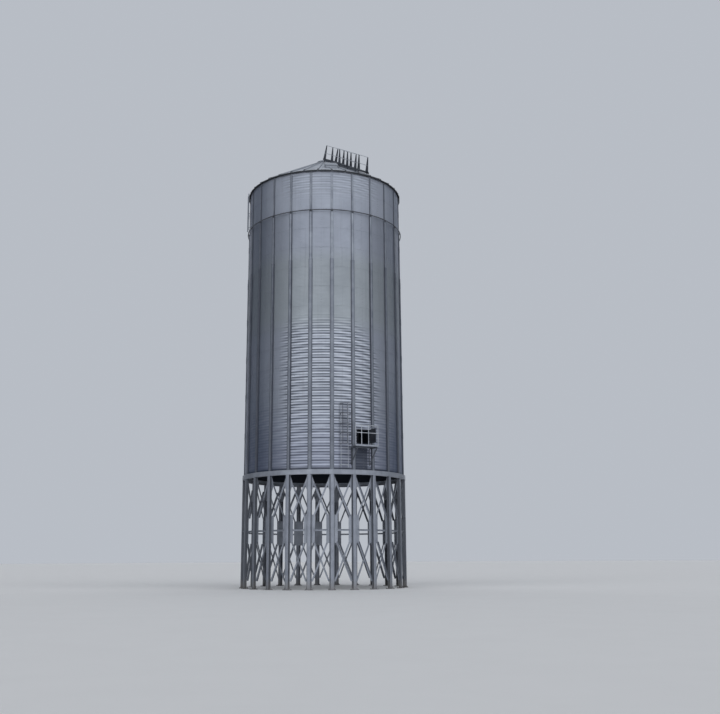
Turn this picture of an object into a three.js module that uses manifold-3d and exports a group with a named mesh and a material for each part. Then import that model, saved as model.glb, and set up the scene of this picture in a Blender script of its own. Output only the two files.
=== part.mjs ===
// Elevated grain silo: a corrugated steel shell on 24 legs, with its roof, ladders and access platform.
// Millimetres, +Z up. The origin is the centre of the ring of legs, at ground level.
// A bearing is an angle round the silo, in degrees, from -Y (the front) towards +X (the right).
// Each piece is drawn at the front, where x runs along the wall and -y is the distance from the
// silo's centre line, and is then turned to its bearing.

import * as THREE from 'three';
import { mergeVertices } from 'three/addons/utils/BufferGeometryUtils.js';
import Module from 'manifold-3d';

const wasm = await Module();
wasm.setup();

// Driving dimensions of the shell
const BAYS = 24;
const BAY_ARC = 1200;
const SHEET_RINGS = 15;
const SHEET_HEIGHT = 1143;
const TOP_ANGLE = 90;
const WALL_THICKNESS = 14;
const WALL_SEGMENTS = 6;
const FACETS = 72;
const RING_FACETS = 48;
const COLLAR_FACETS = 24;
const SEAT_GAP = 0.3;
const FUSE = 5;
const WELD = 0.01;

// Support: legs, ring beam and bracing
const RING_BEAM_BOTTOM = 6000;
const RING_BEAM_HEIGHT = 250;
const RING_BEAM_PLATE = 10;
const RING_BEAM_OVERHANG = 143;
const RING_BEAM_LEDGE = 32;
const LEG_WEB = 190;
const LEG_DEPTH = 140;
const LEG_LIP = 45;
const LEG_PLATE = 8;
const BASE_PLATE = { halfWidth: 200, inner: 4480, outer: 4800, thickness: 20 };
const QUARTERS = 4;
const BRACE = 90;
const BRACE_FOOT = { x: 150, z: 440 };
const GUSSET_PLATE = 10;
const GUSSET_TOP = { foot: 5060, wide: 5530, top: 5990, wideHalf: 270, endHalf: 110 };
const MID_PLATE = { bottom: 2400, top: 3870, half: 300 };
const TIE_HEIGHT = 3070;
const BRACE_INSET = 60;
const BRACE_PACKING = 2;

// Stiffeners, from the ring beam up: an open tier is a channel with its open side to the wall
const STIFFENER_PLATE = 8;
const STIFFENER_TIERS = [
  { top: 18100, width: 170, depth: 75, open: true },
  { top: 21000, width: 130, depth: 60, open: true },
  { top: 23300, width: 80, depth: 40, open: false },
];
const WIND_RING = { height: 20990, radius: 4700, tube: 32, bracket: 20, sides: 4 };

// Roof
const ROOF_PITCH = THREE.MathUtils.degToRad(30);
const ROOF_SHEET = 14;
const EAVE_RADIUS = 4700;
const EAVE_BAND = 90;
const EAVE_PLATE = 8;
const ROOF_RIBS = 36;
const RIB_WIDTH = 40;
const RIB_HEIGHT = 60;
const COLLAR_RADIUS = 450;
const COLLAR = { rise: 100, plate: 8, flange: 70, lidOverhang: 50, lid: 20, sleeve: 60 };
const HATCH = { bearing: 1, inner: 3000, outer: 3700, halfWidth: 340, height: 200, lid: 40, lip: 25 };

// Roof stair and its handrails
const STAIR_BEARING = 25;
const STAIR = {
  inner: 540, outer: 4450, halfWidth: 405, stringer: 50, stringerDepth: 120,
  tread: 180, treadThickness: 30, going: 250,
};
const HANDRAIL = {
  first: 700, pitch: 887, base: 300, tip: 90, height: 950, plate: 12, rail: 28, knee: 380, foot: 60,
  lean: [280, 120, 40, 60, 130],
};

// Manhole in the second ring of sheets, its open door and the access to it
const MANHOLE = {
  bearing: 22, bottom: 7720, top: 8420, halfWidth: 335, frame: 35, inner: 4540, outer: 4690,
};
const DOOR = { thickness: 30, width: 700, margin: 30 };
const PLATFORM = {
  bearing: 20.1, left: 780, right: 615, inner: 4672, outer: 5530, floor: 7480, thickness: 50,
  bar: 50, slats: 9, slat: 8, bracketX: 545, bracketBottom: 6520, bracketInner: 4520, bracketBar: 50,
};
const RAILING = { bar: 40, posts: [-760, -400, 20, 595], top: 8570, knee: 8130 };
const LADDER = {
  bearing: 8, bottom: 6350, top: 9800, halfWidth: 200, radius: 4790, rail: 50, railThickness: 14,
  rung: 24, rungPitch: 300, bracket: 30, bracketEvery: 4,
};
const CAGE = { bottom: 7560, top: 9760, radius: 330, hoops: 5, strap: 40, plate: 10, straps: 5, steps: 9 };
const EAVE_LADDER = {
  bearing: -86, bottom: 21150, top: 23500, halfWidth: 200, radius: 4740, rail: 60, railThickness: 16,
  rung: 26, rungPitch: 300, bracket: 30, bracketEvery: 3,
};

// Derived sizes
const WALL_RADIUS = BAYS * BAY_ARC / (2 * Math.PI);
const WALL_OUTER = WALL_RADIUS + WALL_THICKNESS / 2;
const WALL_INNER = WALL_RADIUS - WALL_THICKNESS / 2;
const WALL_BOTTOM = RING_BEAM_BOTTOM + RING_BEAM_HEIGHT;
const WALL_TOP = WALL_BOTTOM + SHEET_RINGS * SHEET_HEIGHT + TOP_ANGLE;
const BAY_ANGLE = 360 / BAYS;
const FACET_ANGLE = 360 / FACETS;
const SEGMENT_ANGLE = 360 / WALL_SEGMENTS;
const FLAT = Math.cos(THREE.MathUtils.degToRad(FACET_ANGLE / 2));
const LEG_INNER = Math.round(WALL_RADIUS);
const LEG_OUTER = LEG_INNER + LEG_DEPTH;
const LIP_OUTER = LEG_INNER + LEG_PLATE;
const GUSSET_OUTER = LEG_INNER - SEAT_GAP;
const GUSSET_INNER = GUSSET_OUTER - GUSSET_PLATE;
const RING_BEAM_OUTER = WALL_OUTER + RING_BEAM_OVERHANG;
const RING_BEAM_INNER = WALL_OUTER - RING_BEAM_LEDGE;
const ROOF_SLOPE = Math.tan(ROOF_PITCH);

// Colours: galvanised steel, weathered a little differently from piece to piece
const FINISHES = {
  wall: { color: 0x8f959e, roughness: 0.5, metalness: 0.75 },
  structure: { color: 0xa3a8ae, roughness: 0.55, metalness: 0.7 },
  roof: { color: 0x989ea6, roughness: 0.5, metalness: 0.75 },
  access: { color: 0x9aa0a8, roughness: 0.55, metalness: 0.7 },
  door: { color: 0x5b6068, roughness: 0.6, metalness: 0.6 },
};

const silo = new THREE.Group();

function finish(name) {
  return new THREE.MeshStandardMaterial(FINISHES[name]);
}

// Solids

function solid(geometry) {
  geometry.deleteAttribute('normal');
  geometry.deleteAttribute('uv');
  const merged = mergeVertices(geometry, WELD);
  const triVerts = merged.index
    ? new Uint32Array(merged.index.array)
    : Uint32Array.from({ length: merged.attributes.position.count }, (_, i) => i);
  const vertProperties = new Float32Array(merged.attributes.position.array);
  return new wasm.Manifold(new wasm.Mesh({ numProp: 3, vertProperties, triVerts }));
}

function shape(manifold) {
  const mesh = manifold.getMesh();
  const geometry = new THREE.BufferGeometry();
  geometry.setAttribute('position', new THREE.BufferAttribute(mesh.vertProperties, 3));
  geometry.setIndex(new THREE.BufferAttribute(mesh.triVerts, 1));
  return geometry;
}

function fuse(solids) {
  return solids.reduce((whole, piece) => whole.add(piece));
}

function block(x0, x1, inner, outer, z0, z1) {
  const geometry = new THREE.BoxGeometry(x1 - x0, outer - inner, z1 - z0);
  geometry.translate((x0 + x1) / 2, -(inner + outer) / 2, (z0 + z1) / 2);
  return geometry;
}

function outline(points) {
  return new THREE.Shape(points.map(([x, y]) => new THREE.Vector2(x, y)));
}

// A prism standing on an outline in plan
function upright(points, z0, z1) {
  const geometry = new THREE.ExtrudeGeometry(outline(points), { depth: z1 - z0, bevelEnabled: false });
  geometry.translate(0, 0, z0);
  return geometry;
}

// A plate in the radial plane: its outline is in [radius, height] and it spans x0 to x1
function radialPlate(points, x0, x1) {
  const geometry = new THREE.ExtrudeGeometry(outline(points), { depth: x1 - x0, bevelEnabled: false });
  geometry.rotateX(Math.PI / 2);
  geometry.rotateZ(-Math.PI / 2);
  geometry.translate(x1, 0, 0);
  return geometry;
}

// A plate facing outwards: its outline is in [x, height] and it spans inner to outer
function facingPlate(points, inner, outer) {
  const geometry = new THREE.ExtrudeGeometry(outline(points), {
    depth: outer - inner, bevelEnabled: false,
  });
  geometry.rotateX(Math.PI / 2);
  geometry.translate(0, -inner, 0);
  return geometry;
}

// A closed ring, or a solid of revolution, of an outline in [radius, height]
function revolved(points, facets, closed = true) {
  const profile = points.map(([r, z]) => new THREE.Vector2(r, z));
  if (closed) {
    profile.push(profile[0].clone());
  }
  const start = THREE.MathUtils.degToRad(FACET_ANGLE / 2);
  const geometry = new THREE.LatheGeometry(profile, facets, start, 2 * Math.PI);
  geometry.rotateX(Math.PI / 2);
  return geometry;
}

// A straight bar between two points; its section is in [across, outwards], outwards as near as can be
// to the given direction
function bar(from, to, section, facing) {
  const start = new THREE.Vector3(...from);
  const along = new THREE.Vector3(...to).sub(start);
  const geometry = new THREE.ExtrudeGeometry(outline(section), {
    depth: along.length(), bevelEnabled: false,
  });
  const zAxis = along.normalize();
  const xAxis = new THREE.Vector3().crossVectors(new THREE.Vector3(...facing), zAxis).normalize();
  const yAxis = new THREE.Vector3().crossVectors(zAxis, xAxis);
  geometry.applyMatrix4(new THREE.Matrix4().makeBasis(xAxis, yAxis, zAxis));
  geometry.translate(start.x, start.y, start.z);
  return geometry;
}

// A point given by a bearing, a distance along the wall from it, a radius and a height
function pointAt(bearing, x, radius, z) {
  const angle = THREE.MathUtils.degToRad(bearing);
  return [
    x * Math.cos(angle) + radius * Math.sin(angle),
    x * Math.sin(angle) - radius * Math.cos(angle),
    z,
  ];
}

function outwards(bearing) {
  return pointAt(bearing, 0, 1, 0);
}

function turned(geometry, bearing) {
  return geometry.rotateZ(THREE.MathUtils.degToRad(bearing));
}

function add(name, geometry, finishName, bearing = 0) {
  const mesh = new THREE.Mesh(geometry, finish(finishName));
  mesh.name = name;
  mesh.rotation.z = THREE.MathUtils.degToRad(bearing);
  silo.add(mesh);
}

// The space inside the wall's outer face, for trimming what is fastened to the wall
function wallSpace() {
  const radius = WALL_OUTER + SEAT_GAP;
  return solid(revolved([[0, 0], [radius, 0], [radius, WALL_TOP], [0, WALL_TOP]], FACETS, false));
}

// Support

// A leg is a hat section with its open side to the centre
function legGeometry() {
  const half = LEG_WEB / 2;
  const inside = half - LEG_PLATE;
  const lipEnd = half + LEG_LIP;
  const web = LEG_OUTER - LEG_PLATE;
  const section = [
    [-half, -LEG_OUTER], [half, -LEG_OUTER], [half, -LIP_OUTER], [lipEnd, -LIP_OUTER],
    [lipEnd, -LEG_INNER], [inside, -LEG_INNER], [inside, -web], [-inside, -web],
    [-inside, -LEG_INNER], [-lipEnd, -LEG_INNER], [-lipEnd, -LIP_OUTER], [-half, -LIP_OUTER],
  ];
  const post = upright(section, BASE_PLATE.thickness - FUSE, RING_BEAM_BOTTOM - SEAT_GAP);
  const { halfWidth, inner, outer, thickness } = BASE_PLATE;
  const plate = block(-halfWidth, halfWidth, inner, outer, 0, thickness);
  return shape(fuse([solid(post), solid(plate)]));
}

function ringBeamGeometry() {
  const bottom = RING_BEAM_BOTTOM;
  const top = WALL_BOTTOM;
  const web = RING_BEAM_OUTER - RING_BEAM_PLATE;
  return revolved([
    [RING_BEAM_INNER, bottom], [RING_BEAM_OUTER, bottom],
    [RING_BEAM_OUTER, top], [RING_BEAM_INNER, top],
    [RING_BEAM_INNER, top - RING_BEAM_PLATE], [web, top - RING_BEAM_PLATE],
    [web, bottom + RING_BEAM_PLATE], [RING_BEAM_INNER, bottom + RING_BEAM_PLATE],
  ], RING_FACETS);
}

// The plates lie behind the lips of the leg
function gussets(bearing) {
  const { foot, wide, top, wideHalf, endHalf } = GUSSET_TOP;
  const kite = [
    [-endHalf, foot], [endHalf, foot], [wideHalf, wide], [endHalf, top], [-endHalf, top], [-wideHalf, wide],
  ];
  const plates = [
    facingPlate(kite, GUSSET_INNER, GUSSET_OUTER),
    block(-MID_PLATE.half, MID_PLATE.half, GUSSET_INNER, GUSSET_OUTER, MID_PLATE.bottom, MID_PLATE.top),
  ];
  return plates.map((plate) => solid(turned(plate, bearing)));
}

// A brace is an angle, filled in here to a triangular bar. It is fused to its own quarter's plates, and
// packed out just clear of the next quarter's, which turn away from it. Its foot lies on the leg's lip.
function brace(bearing, from, to, lastBay) {
  const dip = BRACE_INSET * Math.tan(THREE.MathUtils.degToRad(BAY_ANGLE / 2));
  const seat = (end, far) => {
    if (end === BRACE_FOOT) {
      return LIP_OUTER + BRACE_PACKING;
    }
    return far && lastBay ? GUSSET_OUTER + dip + BRACE_PACKING : GUSSET_OUTER + dip / 2 - FUSE;
  };
  const half = BRACE / 2;
  const start = pointAt(bearing, from.x, seat(from, false), from.z);
  const end = pointAt(bearing + BAY_ANGLE, -to.x, seat(to, true), to.z);
  return solid(bar(start, end, [[-half, 0], [half, 0], [half, BRACE]], outwards(bearing + BAY_ANGLE / 2)));
}

function bayBraces(bearing, lastBay) {
  const head = { x: GUSSET_TOP.wideHalf - BRACE_INSET, z: GUSSET_TOP.wide + BRACE_INSET };
  const plateTop = { x: MID_PLATE.half - BRACE_INSET, z: MID_PLATE.top - BRACE_INSET };
  const plateBottom = { x: MID_PLATE.half - BRACE_INSET, z: MID_PLATE.bottom + BRACE_INSET };
  const tie = { x: MID_PLATE.half - BRACE_INSET, z: TIE_HEIGHT };
  const pairs = [
    [head, plateTop], [plateTop, head], [plateBottom, BRACE_FOOT], [BRACE_FOOT, plateBottom], [tie, tie],
  ];
  return pairs.map(([from, to]) => brace(bearing, from, to, lastBay));
}

function bracingGeometry(quarter) {
  const bays = BAYS / QUARTERS;
  const pieces = [];
  for (let bay = 0; bay < bays; bay += 1) {
    const bearing = (quarter * bays + bay) * BAY_ANGLE;
    pieces.push(...gussets(bearing), ...bayBraces(bearing, bay === bays - 1));
  }
  return shape(fuse(pieces));
}

// Wall

function segmentOutline(first, last) {
  const trim = THREE.MathUtils.radToDeg(SEAT_GAP / 2 / WALL_INNER);
  const bearings = [];
  for (let bearing = first; bearing <= last; bearing += FACET_ANGLE) {
    bearings.push(Math.min(Math.max(bearing, first + trim), last - trim));
  }
  const outer = bearings.map((bearing) => pointAt(bearing, 0, WALL_OUTER, 0));
  const inner = bearings.map((bearing) => pointAt(bearing, 0, WALL_INNER, 0));
  return [...outer, ...inner.reverse()];
}

function stiffener(bearing) {
  let bottom = WALL_BOTTOM + SEAT_GAP;
  const tiers = [];
  for (const { top, width, depth, open } of STIFFENER_TIERS) {
    const half = width / 2;
    const face = WALL_OUTER * FLAT + depth;
    const root = WALL_OUTER * FLAT - FUSE;
    const inside = half - STIFFENER_PLATE;
    const channel = [
      [inside, -root], [inside, -face + STIFFENER_PLATE], [-inside, -face + STIFFENER_PLATE],
      [-inside, -root],
    ];
    const section = [[-half, -face], [half, -face], [half, -root], ...(open ? channel : []), [-half, -root]];
    tiers.push(solid(turned(upright(section, bottom, top), bearing)));
    bottom = top;
  }
  return tiers;
}

function manholeHole() {
  const reach = MANHOLE.halfWidth + MANHOLE.frame + SEAT_GAP;
  const hole = block(-reach, reach, MANHOLE.inner, MANHOLE.outer,
    MANHOLE.bottom - MANHOLE.frame - SEAT_GAP, MANHOLE.top + MANHOLE.frame + SEAT_GAP);
  return solid(turned(hole, MANHOLE.bearing));
}

function wallSegmentGeometry(first) {
  const sheet = upright(segmentOutline(first, first + SEGMENT_ANGLE), WALL_BOTTOM + SEAT_GAP, WALL_TOP);
  const pieces = [solid(sheet)];
  const stiffeners = SEGMENT_ANGLE / BAY_ANGLE;
  for (let n = 0; n < stiffeners; n += 1) {
    pieces.push(...stiffener(first + (n + 0.5) * BAY_ANGLE));
  }
  const whole = fuse(pieces);
  const holdsManhole = MANHOLE.bearing > first && MANHOLE.bearing < first + SEGMENT_ANGLE;
  return shape(holdsManhole ? whole.subtract(manholeHole()) : whole);
}

function windRingGeometry() {
  const { height, radius, tube, bracket, sides } = WIND_RING;
  const section = [];
  for (let side = 0; side < sides; side += 1) {
    const angle = 2 * Math.PI * side / sides;
    section.push([radius + tube * Math.cos(angle), height + tube * Math.sin(angle)]);
  }
  const pieces = [solid(revolved(section, RING_FACETS))];
  const seat = WALL_OUTER * FLAT + STIFFENER_TIERS[1].depth + SEAT_GAP;
  for (let bay = 0; bay < BAYS; bay += 1) {
    const arm = block(-bracket, bracket, seat, radius, height - bracket, height + bracket);
    pieces.push(solid(turned(arm, bay * BAY_ANGLE)));
  }
  return shape(fuse(pieces));
}

// Roof: the sheet's underside rests on the top edge of the wall

function roofUnderside(radius) {
  return WALL_TOP + SEAT_GAP + (WALL_OUTER - radius) * ROOF_SLOPE;
}

function roofTop(radius) {
  return roofUnderside(radius) + ROOF_SHEET;
}

// The roof's sheet and ribs; a clearance swells them, for trimming what stands on the roof
function roofSolid(clearance) {
  const lift = clearance / Math.cos(ROOF_PITCH);
  const bandInner = EAVE_RADIUS - EAVE_PLATE;
  const bandBottom = roofTop(EAVE_RADIUS) - EAVE_BAND;
  const sheet = revolved([
    [COLLAR_RADIUS, roofUnderside(COLLAR_RADIUS)], [bandInner, roofUnderside(bandInner)],
    [bandInner, bandBottom], [EAVE_RADIUS, bandBottom],
    [EAVE_RADIUS, roofTop(EAVE_RADIUS) + lift], [COLLAR_RADIUS, roofTop(COLLAR_RADIUS) + lift],
  ], FACETS);
  const pieces = [solid(sheet)];
  const ribInner = COLLAR_RADIUS + COLLAR.flange + FUSE;
  const ribOuter = EAVE_RADIUS * FLAT - FUSE;
  const half = RIB_WIDTH / 2 + clearance;
  const high = RIB_HEIGHT + lift;
  for (let rib = 0; rib < ROOF_RIBS; rib += 1) {
    const profile = [
      [ribInner, roofTop(ribInner) - FUSE], [ribOuter, roofTop(ribOuter) - FUSE],
      [ribOuter, roofTop(ribOuter) + high], [ribInner, roofTop(ribInner) + high],
    ];
    pieces.push(solid(turned(radialPlate(profile, -half, half), rib * 360 / ROOF_RIBS)));
  }
  return fuse(pieces);
}

function collarGeometry() {
  const { rise, plate, flange, lidOverhang, lid, sleeve } = COLLAR;
  const outer = COLLAR_RADIUS - SEAT_GAP;
  const inner = outer - plate;
  const flangeEnd = COLLAR_RADIUS + flange;
  const sag = (1 - Math.cos(Math.PI / COLLAR_FACETS)) * flangeEnd * ROOF_SLOPE;
  const lift = SEAT_GAP / Math.cos(ROOF_PITCH) + sag;
  const top = roofTop(COLLAR_RADIUS) + rise;
  return revolved([
    [0, top - lid], [inner, top - lid], [inner, roofUnderside(outer) - sleeve],
    [outer, roofUnderside(outer) - sleeve], [outer, roofTop(outer) + lift],
    [flangeEnd, roofTop(flangeEnd) + lift], [flangeEnd, roofTop(flangeEnd) + lift + plate],
    [outer, roofTop(outer) + lift + plate], [outer, top - lid],
    [outer + lidOverhang, top - lid], [outer + lidOverhang, top], [0, top],
  ], COLLAR_FACETS, false);
}

function hatchGeometry(roof) {
  const { inner, outer, halfWidth, height, lid, lip } = HATCH;
  const curb = [
    [inner, roofTop(inner) - FUSE], [outer, roofTop(outer) - FUSE],
    [outer, roofTop(outer) + height], [inner, roofTop(inner) + height],
  ];
  const cover = [
    [inner - lip, roofTop(inner - lip) + height - FUSE], [outer + lip, roofTop(outer + lip) + height - FUSE],
    [outer + lip, roofTop(outer + lip) + height + lid], [inner - lip, roofTop(inner - lip) + height + lid],
  ];
  const pieces = [
    solid(turned(radialPlate(curb, -halfWidth, halfWidth), HATCH.bearing)),
    solid(turned(radialPlate(cover, -halfWidth - lip, halfWidth + lip), HATCH.bearing)),
  ];
  return shape(fuse(pieces).subtract(roof));
}

// The plane of the stair lies just above the ribs, parallel to the roof
function stairBase(radius) {
  return roofTop(radius) + RIB_HEIGHT + FUSE;
}

function handrailPosts() {
  return HANDRAIL.lean.map((_, n) => HANDRAIL.first + n * HANDRAIL.pitch);
}

function stairGeometry(roof) {
  const { inner, outer, halfWidth, stringer, stringerDepth, tread, treadThickness, going } = STAIR;
  const pieces = [];
  const side = [
    [inner, stairBase(inner)], [outer, stairBase(outer)],
    [outer, stairBase(outer) + stringerDepth], [inner, stairBase(inner) + stringerDepth],
  ];
  for (const sign of [-1, 1]) {
    const x = sign * halfWidth;
    pieces.push(solid(radialPlate(side, x - stringer / 2, x + stringer / 2)));
    for (const radius of handrailPosts()) {
      const ends = [radius - HANDRAIL.foot / 2, radius + HANDRAIL.foot / 2];
      const sole = ends.map((end) => [end, roofTop(Math.hypot(end, halfWidth)) - ROOF_SHEET / 2]);
      const head = ends.map((end) => [end, stairBase(end) + stringerDepth / 2]).reverse();
      pieces.push(solid(radialPlate([...sole, ...head], x - stringer / 2, x + stringer / 2)));
    }
  }
  const treadHalf = halfWidth - stringer / 2 + FUSE;
  for (let radius = inner + going / 2; radius < outer - tread / 2; radius += going) {
    const level = stairBase(radius) + stringerDepth / 2;
    pieces.push(solid(block(-treadHalf, treadHalf, radius - tread / 2, radius + tread / 2,
      level, level + treadThickness)));
  }
  const whole = fuse(pieces).rotate([0, 0, STAIR_BEARING]);
  return shape(whole.subtract(roof));
}

function handrailGeometry(sign) {
  const { base, tip, height, plate, rail, knee, lean } = HANDRAIL;
  const x = sign * STAIR.halfWidth;
  const seat = (radius) => stairBase(radius) + STAIR.stringerDepth + SEAT_GAP / Math.cos(ROOF_PITCH);
  const posts = handrailPosts();
  const pieces = posts.map((radius, n) => {
    const ends = [radius - base / 2, radius + base / 2];
    const tips = [radius + lean[n] + tip / 2, radius + lean[n] - tip / 2];
    const profile = [...ends.map((end) => [end, seat(end)]), ...tips.map((end) => [end, seat(end) + height])];
    return solid(radialPlate(profile, x - plate / 2, x + plate / 2));
  });
  const end = posts.length - 1;
  for (const level of [knee, height - rail]) {
    const first = posts[0] + lean[0] * level / height - tip / 2;
    const last = posts[end] + lean[end] * level / height + tip / 2;
    const profile = [
      [first, seat(first) + level], [last, seat(last) + level],
      [last, seat(last) + level + rail], [first, seat(first) + level + rail],
    ];
    pieces.push(solid(radialPlate(profile, x - rail / 2, x + rail / 2)));
  }
  return shape(fuse(pieces));
}

// Access: manhole, platform and ladders

function manholeFrameGeometry() {
  const { bottom, top, halfWidth, frame, inner, outer } = MANHOLE;
  const reach = halfWidth + frame;
  const tube = solid(block(-reach, reach, inner, outer, bottom - frame, top + frame));
  return shape(tube.subtract(solid(block(-halfWidth, halfWidth, inner - FUSE, outer + FUSE, bottom, top))));
}

function doorGeometry() {
  const { thickness, width, margin } = DOOR;
  const right = MANHOLE.halfWidth + MANHOLE.frame;
  const hinge = MANHOLE.outer + SEAT_GAP;
  return block(right - thickness, right, hinge, hinge + width,
    MANHOLE.bottom - margin, MANHOLE.top + margin);
}

function platformGeometry(wall) {
  const { left, right, inner, outer, floor, thickness, bar: frame, slats, slat } = PLATFORM;
  const { bracketX, bracketBottom, bracketInner, bracketBar } = PLATFORM;
  const under = floor - thickness;
  const pieces = [
    block(-left, right, outer - frame, outer, under, floor),
    block(-left, right, inner, inner + frame, under, floor),
    block(-left, -left + frame, inner, outer, under, floor),
    block(right - frame, right, inner, outer, under, floor),
  ];
  const pitch = (left + right) / (slats + 1);
  for (let n = 1; n <= slats; n += 1) {
    const x = -left + n * pitch;
    pieces.push(block(x - slat / 2, x + slat / 2, inner, outer, floor - thickness / 2, floor));
  }
  const half = bracketBar / 2;
  const square = [[-half, -half], [half, -half], [half, half], [-half, half]];
  for (const x of [-bracketX, bracketX]) {
    const foot = [x, -(inner - frame - half), bracketBottom + half];
    const head = [x, -(outer - frame - bracketBar), under - half];
    pieces.push(block(x - half, x + half, bracketInner, outer - frame, under - bracketBar, under + FUSE));
    pieces.push(block(x - half, x + half, bracketInner, inner - frame, bracketBottom, under));
    pieces.push(bar(foot, head, square, [1, 0, 0]));
  }
  return shape(fuse(pieces.map(solid)).rotate([0, 0, PLATFORM.bearing]).subtract(wall));
}

function railingGeometry() {
  const { bar: size, posts, top, knee } = RAILING;
  const seat = PLATFORM.floor + SEAT_GAP;
  const edge = PLATFORM.outer;
  const end = PLATFORM.right;
  const pieces = posts.map((x) => block(x - size / 2, x + size / 2, edge - size, edge, seat, top));
  pieces.push(block(end - size, end, PLATFORM.inner, PLATFORM.inner + size, seat, top));
  for (const level of [knee, top - size]) {
    pieces.push(block(-PLATFORM.left, end, edge - size, edge, level, level + size));
    pieces.push(block(end - size, end, PLATFORM.inner, edge, level, level + size));
  }
  return shape(fuse(pieces.map(solid)));
}

function ladderGeometry(ladder, wall) {
  const { bearing, bottom, top, halfWidth, radius, rail, railThickness } = ladder;
  const { rung, rungPitch, bracket, bracketEvery } = ladder;
  const pieces = [];
  for (const sign of [-1, 1]) {
    const x = sign * halfWidth;
    pieces.push(block(x - railThickness / 2, x + railThickness / 2, radius - rail / 2, radius + rail / 2,
      bottom, top));
  }
  const rungs = Math.floor((top - bottom) / rungPitch);
  for (let n = 0; n < rungs; n += 1) {
    const level = bottom + (n + 0.5) * rungPitch;
    pieces.push(block(-halfWidth, halfWidth, radius - rung / 2, radius + rung / 2,
      level - rung / 2, level + rung / 2));
    if (n % bracketEvery === 0) {
      for (const x of [-halfWidth, halfWidth]) {
        pieces.push(block(x - bracket / 2, x + bracket / 2, WALL_INNER, radius,
          level - bracket / 2, level + bracket / 2));
      }
    }
  }
  return shape(fuse(pieces.map(solid)).rotate([0, 0, bearing]).subtract(wall));
}

// The cage's hoops run round from one ladder rail to the other and carry its upright straps
function cageGeometry() {
  const { bottom, top, radius, hoops, strap, plate, straps, steps } = CAGE;
  const seat = LADDER.radius + LADDER.rail / 2 + SEAT_GAP;
  const halfArc = Math.PI - Math.asin(LADDER.halfWidth / radius);
  const centre = seat - (radius + plate) * Math.cos(halfArc);
  const ring = (r, angle) => [r * Math.sin(angle), -centre - r * Math.cos(angle)];
  const angles = Array.from({ length: steps + 1 }, (_, n) => halfArc * (2 * n / steps - 1));
  const inside = angles.map((angle) => ring(radius, angle));
  const outside = angles.map((angle) => ring(radius + plate, angle)).reverse();
  const pieces = [];
  for (let n = 0; n < hoops; n += 1) {
    const level = bottom + (top - bottom - strap) * n / (hoops - 1);
    pieces.push(upright([...inside, ...outside], level, level + strap));
  }
  for (let n = 0; n < straps; n += 1) {
    const angle = Math.PI / 2 * (2 * n / (straps - 1) - 1);
    const upstand = block(-strap / 2, strap / 2, radius - plate, radius + plate / 2, bottom, top);
    upstand.rotateZ(angle);
    upstand.translate(0, -centre, 0);
    pieces.push(upstand);
  }
  return shape(fuse(pieces.map(solid)));
}

// Assembly

for (let bay = 0; bay < BAYS; bay += 1) {
  const number = String(bay + 1).padStart(2, '0');
  add(`leg_${number}`, legGeometry(), 'structure', bay * BAY_ANGLE);
}
for (let quarter = 0; quarter < QUARTERS; quarter += 1) {
  add(`bracing_quarter_${quarter + 1}`, bracingGeometry(quarter), 'structure');
}
add('ring_beam', ringBeamGeometry(), 'structure');
for (let segment = 0; segment < WALL_SEGMENTS; segment += 1) {
  const first = (segment - 1) * SEGMENT_ANGLE + BAY_ANGLE / 2;
  add(`wall_segment_${segment + 1}`, wallSegmentGeometry(first), 'wall');
}
add('wind_ring', windRingGeometry(), 'structure');

const roofClearance = roofSolid(SEAT_GAP);
add('roof_cone', shape(roofSolid(0)), 'roof');
add('roof_collar', collarGeometry(), 'roof');
add('roof_hatch', hatchGeometry(roofClearance), 'roof');
add('roof_stair', stairGeometry(roofClearance), 'access');
add('roof_handrail_left', handrailGeometry(-1), 'access', STAIR_BEARING);
add('roof_handrail_right', handrailGeometry(1), 'access', STAIR_BEARING);

const insideWall = wallSpace();
add('manhole_frame', manholeFrameGeometry(), 'structure', MANHOLE.bearing);
add('manhole_door', doorGeometry(), 'door', MANHOLE.bearing);
add('access_platform', platformGeometry(insideWall), 'access');
add('platform_railing', railingGeometry(), 'access', PLATFORM.bearing);
add('access_ladder', ladderGeometry(LADDER, insideWall), 'access');
add('ladder_cage', cageGeometry(), 'access', LADDER.bearing);
add('eave_ladder', ladderGeometry(EAVE_LADDER, insideWall), 'access');

export default silo;
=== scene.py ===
import math

import bmesh
import bpy
from mathutils import Matrix, Vector


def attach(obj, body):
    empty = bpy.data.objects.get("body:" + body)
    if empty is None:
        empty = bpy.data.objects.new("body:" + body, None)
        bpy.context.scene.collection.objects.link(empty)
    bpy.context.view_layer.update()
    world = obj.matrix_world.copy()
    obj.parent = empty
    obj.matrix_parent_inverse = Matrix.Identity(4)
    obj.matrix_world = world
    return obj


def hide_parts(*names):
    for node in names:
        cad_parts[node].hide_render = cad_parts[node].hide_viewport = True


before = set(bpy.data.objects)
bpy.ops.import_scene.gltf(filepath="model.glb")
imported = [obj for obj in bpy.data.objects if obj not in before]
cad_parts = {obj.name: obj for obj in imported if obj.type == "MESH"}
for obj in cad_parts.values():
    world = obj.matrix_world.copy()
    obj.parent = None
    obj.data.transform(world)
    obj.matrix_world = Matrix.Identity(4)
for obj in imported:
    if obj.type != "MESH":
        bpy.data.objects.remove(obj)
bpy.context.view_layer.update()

# Metres, +Z up. A bearing is an angle round the silo in degrees, from -Y (the front) towards +X.
# A piece is made at the front, where x runs along the wall and -y is the distance from the centre
# line, and is then turned to its bearing.

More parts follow.
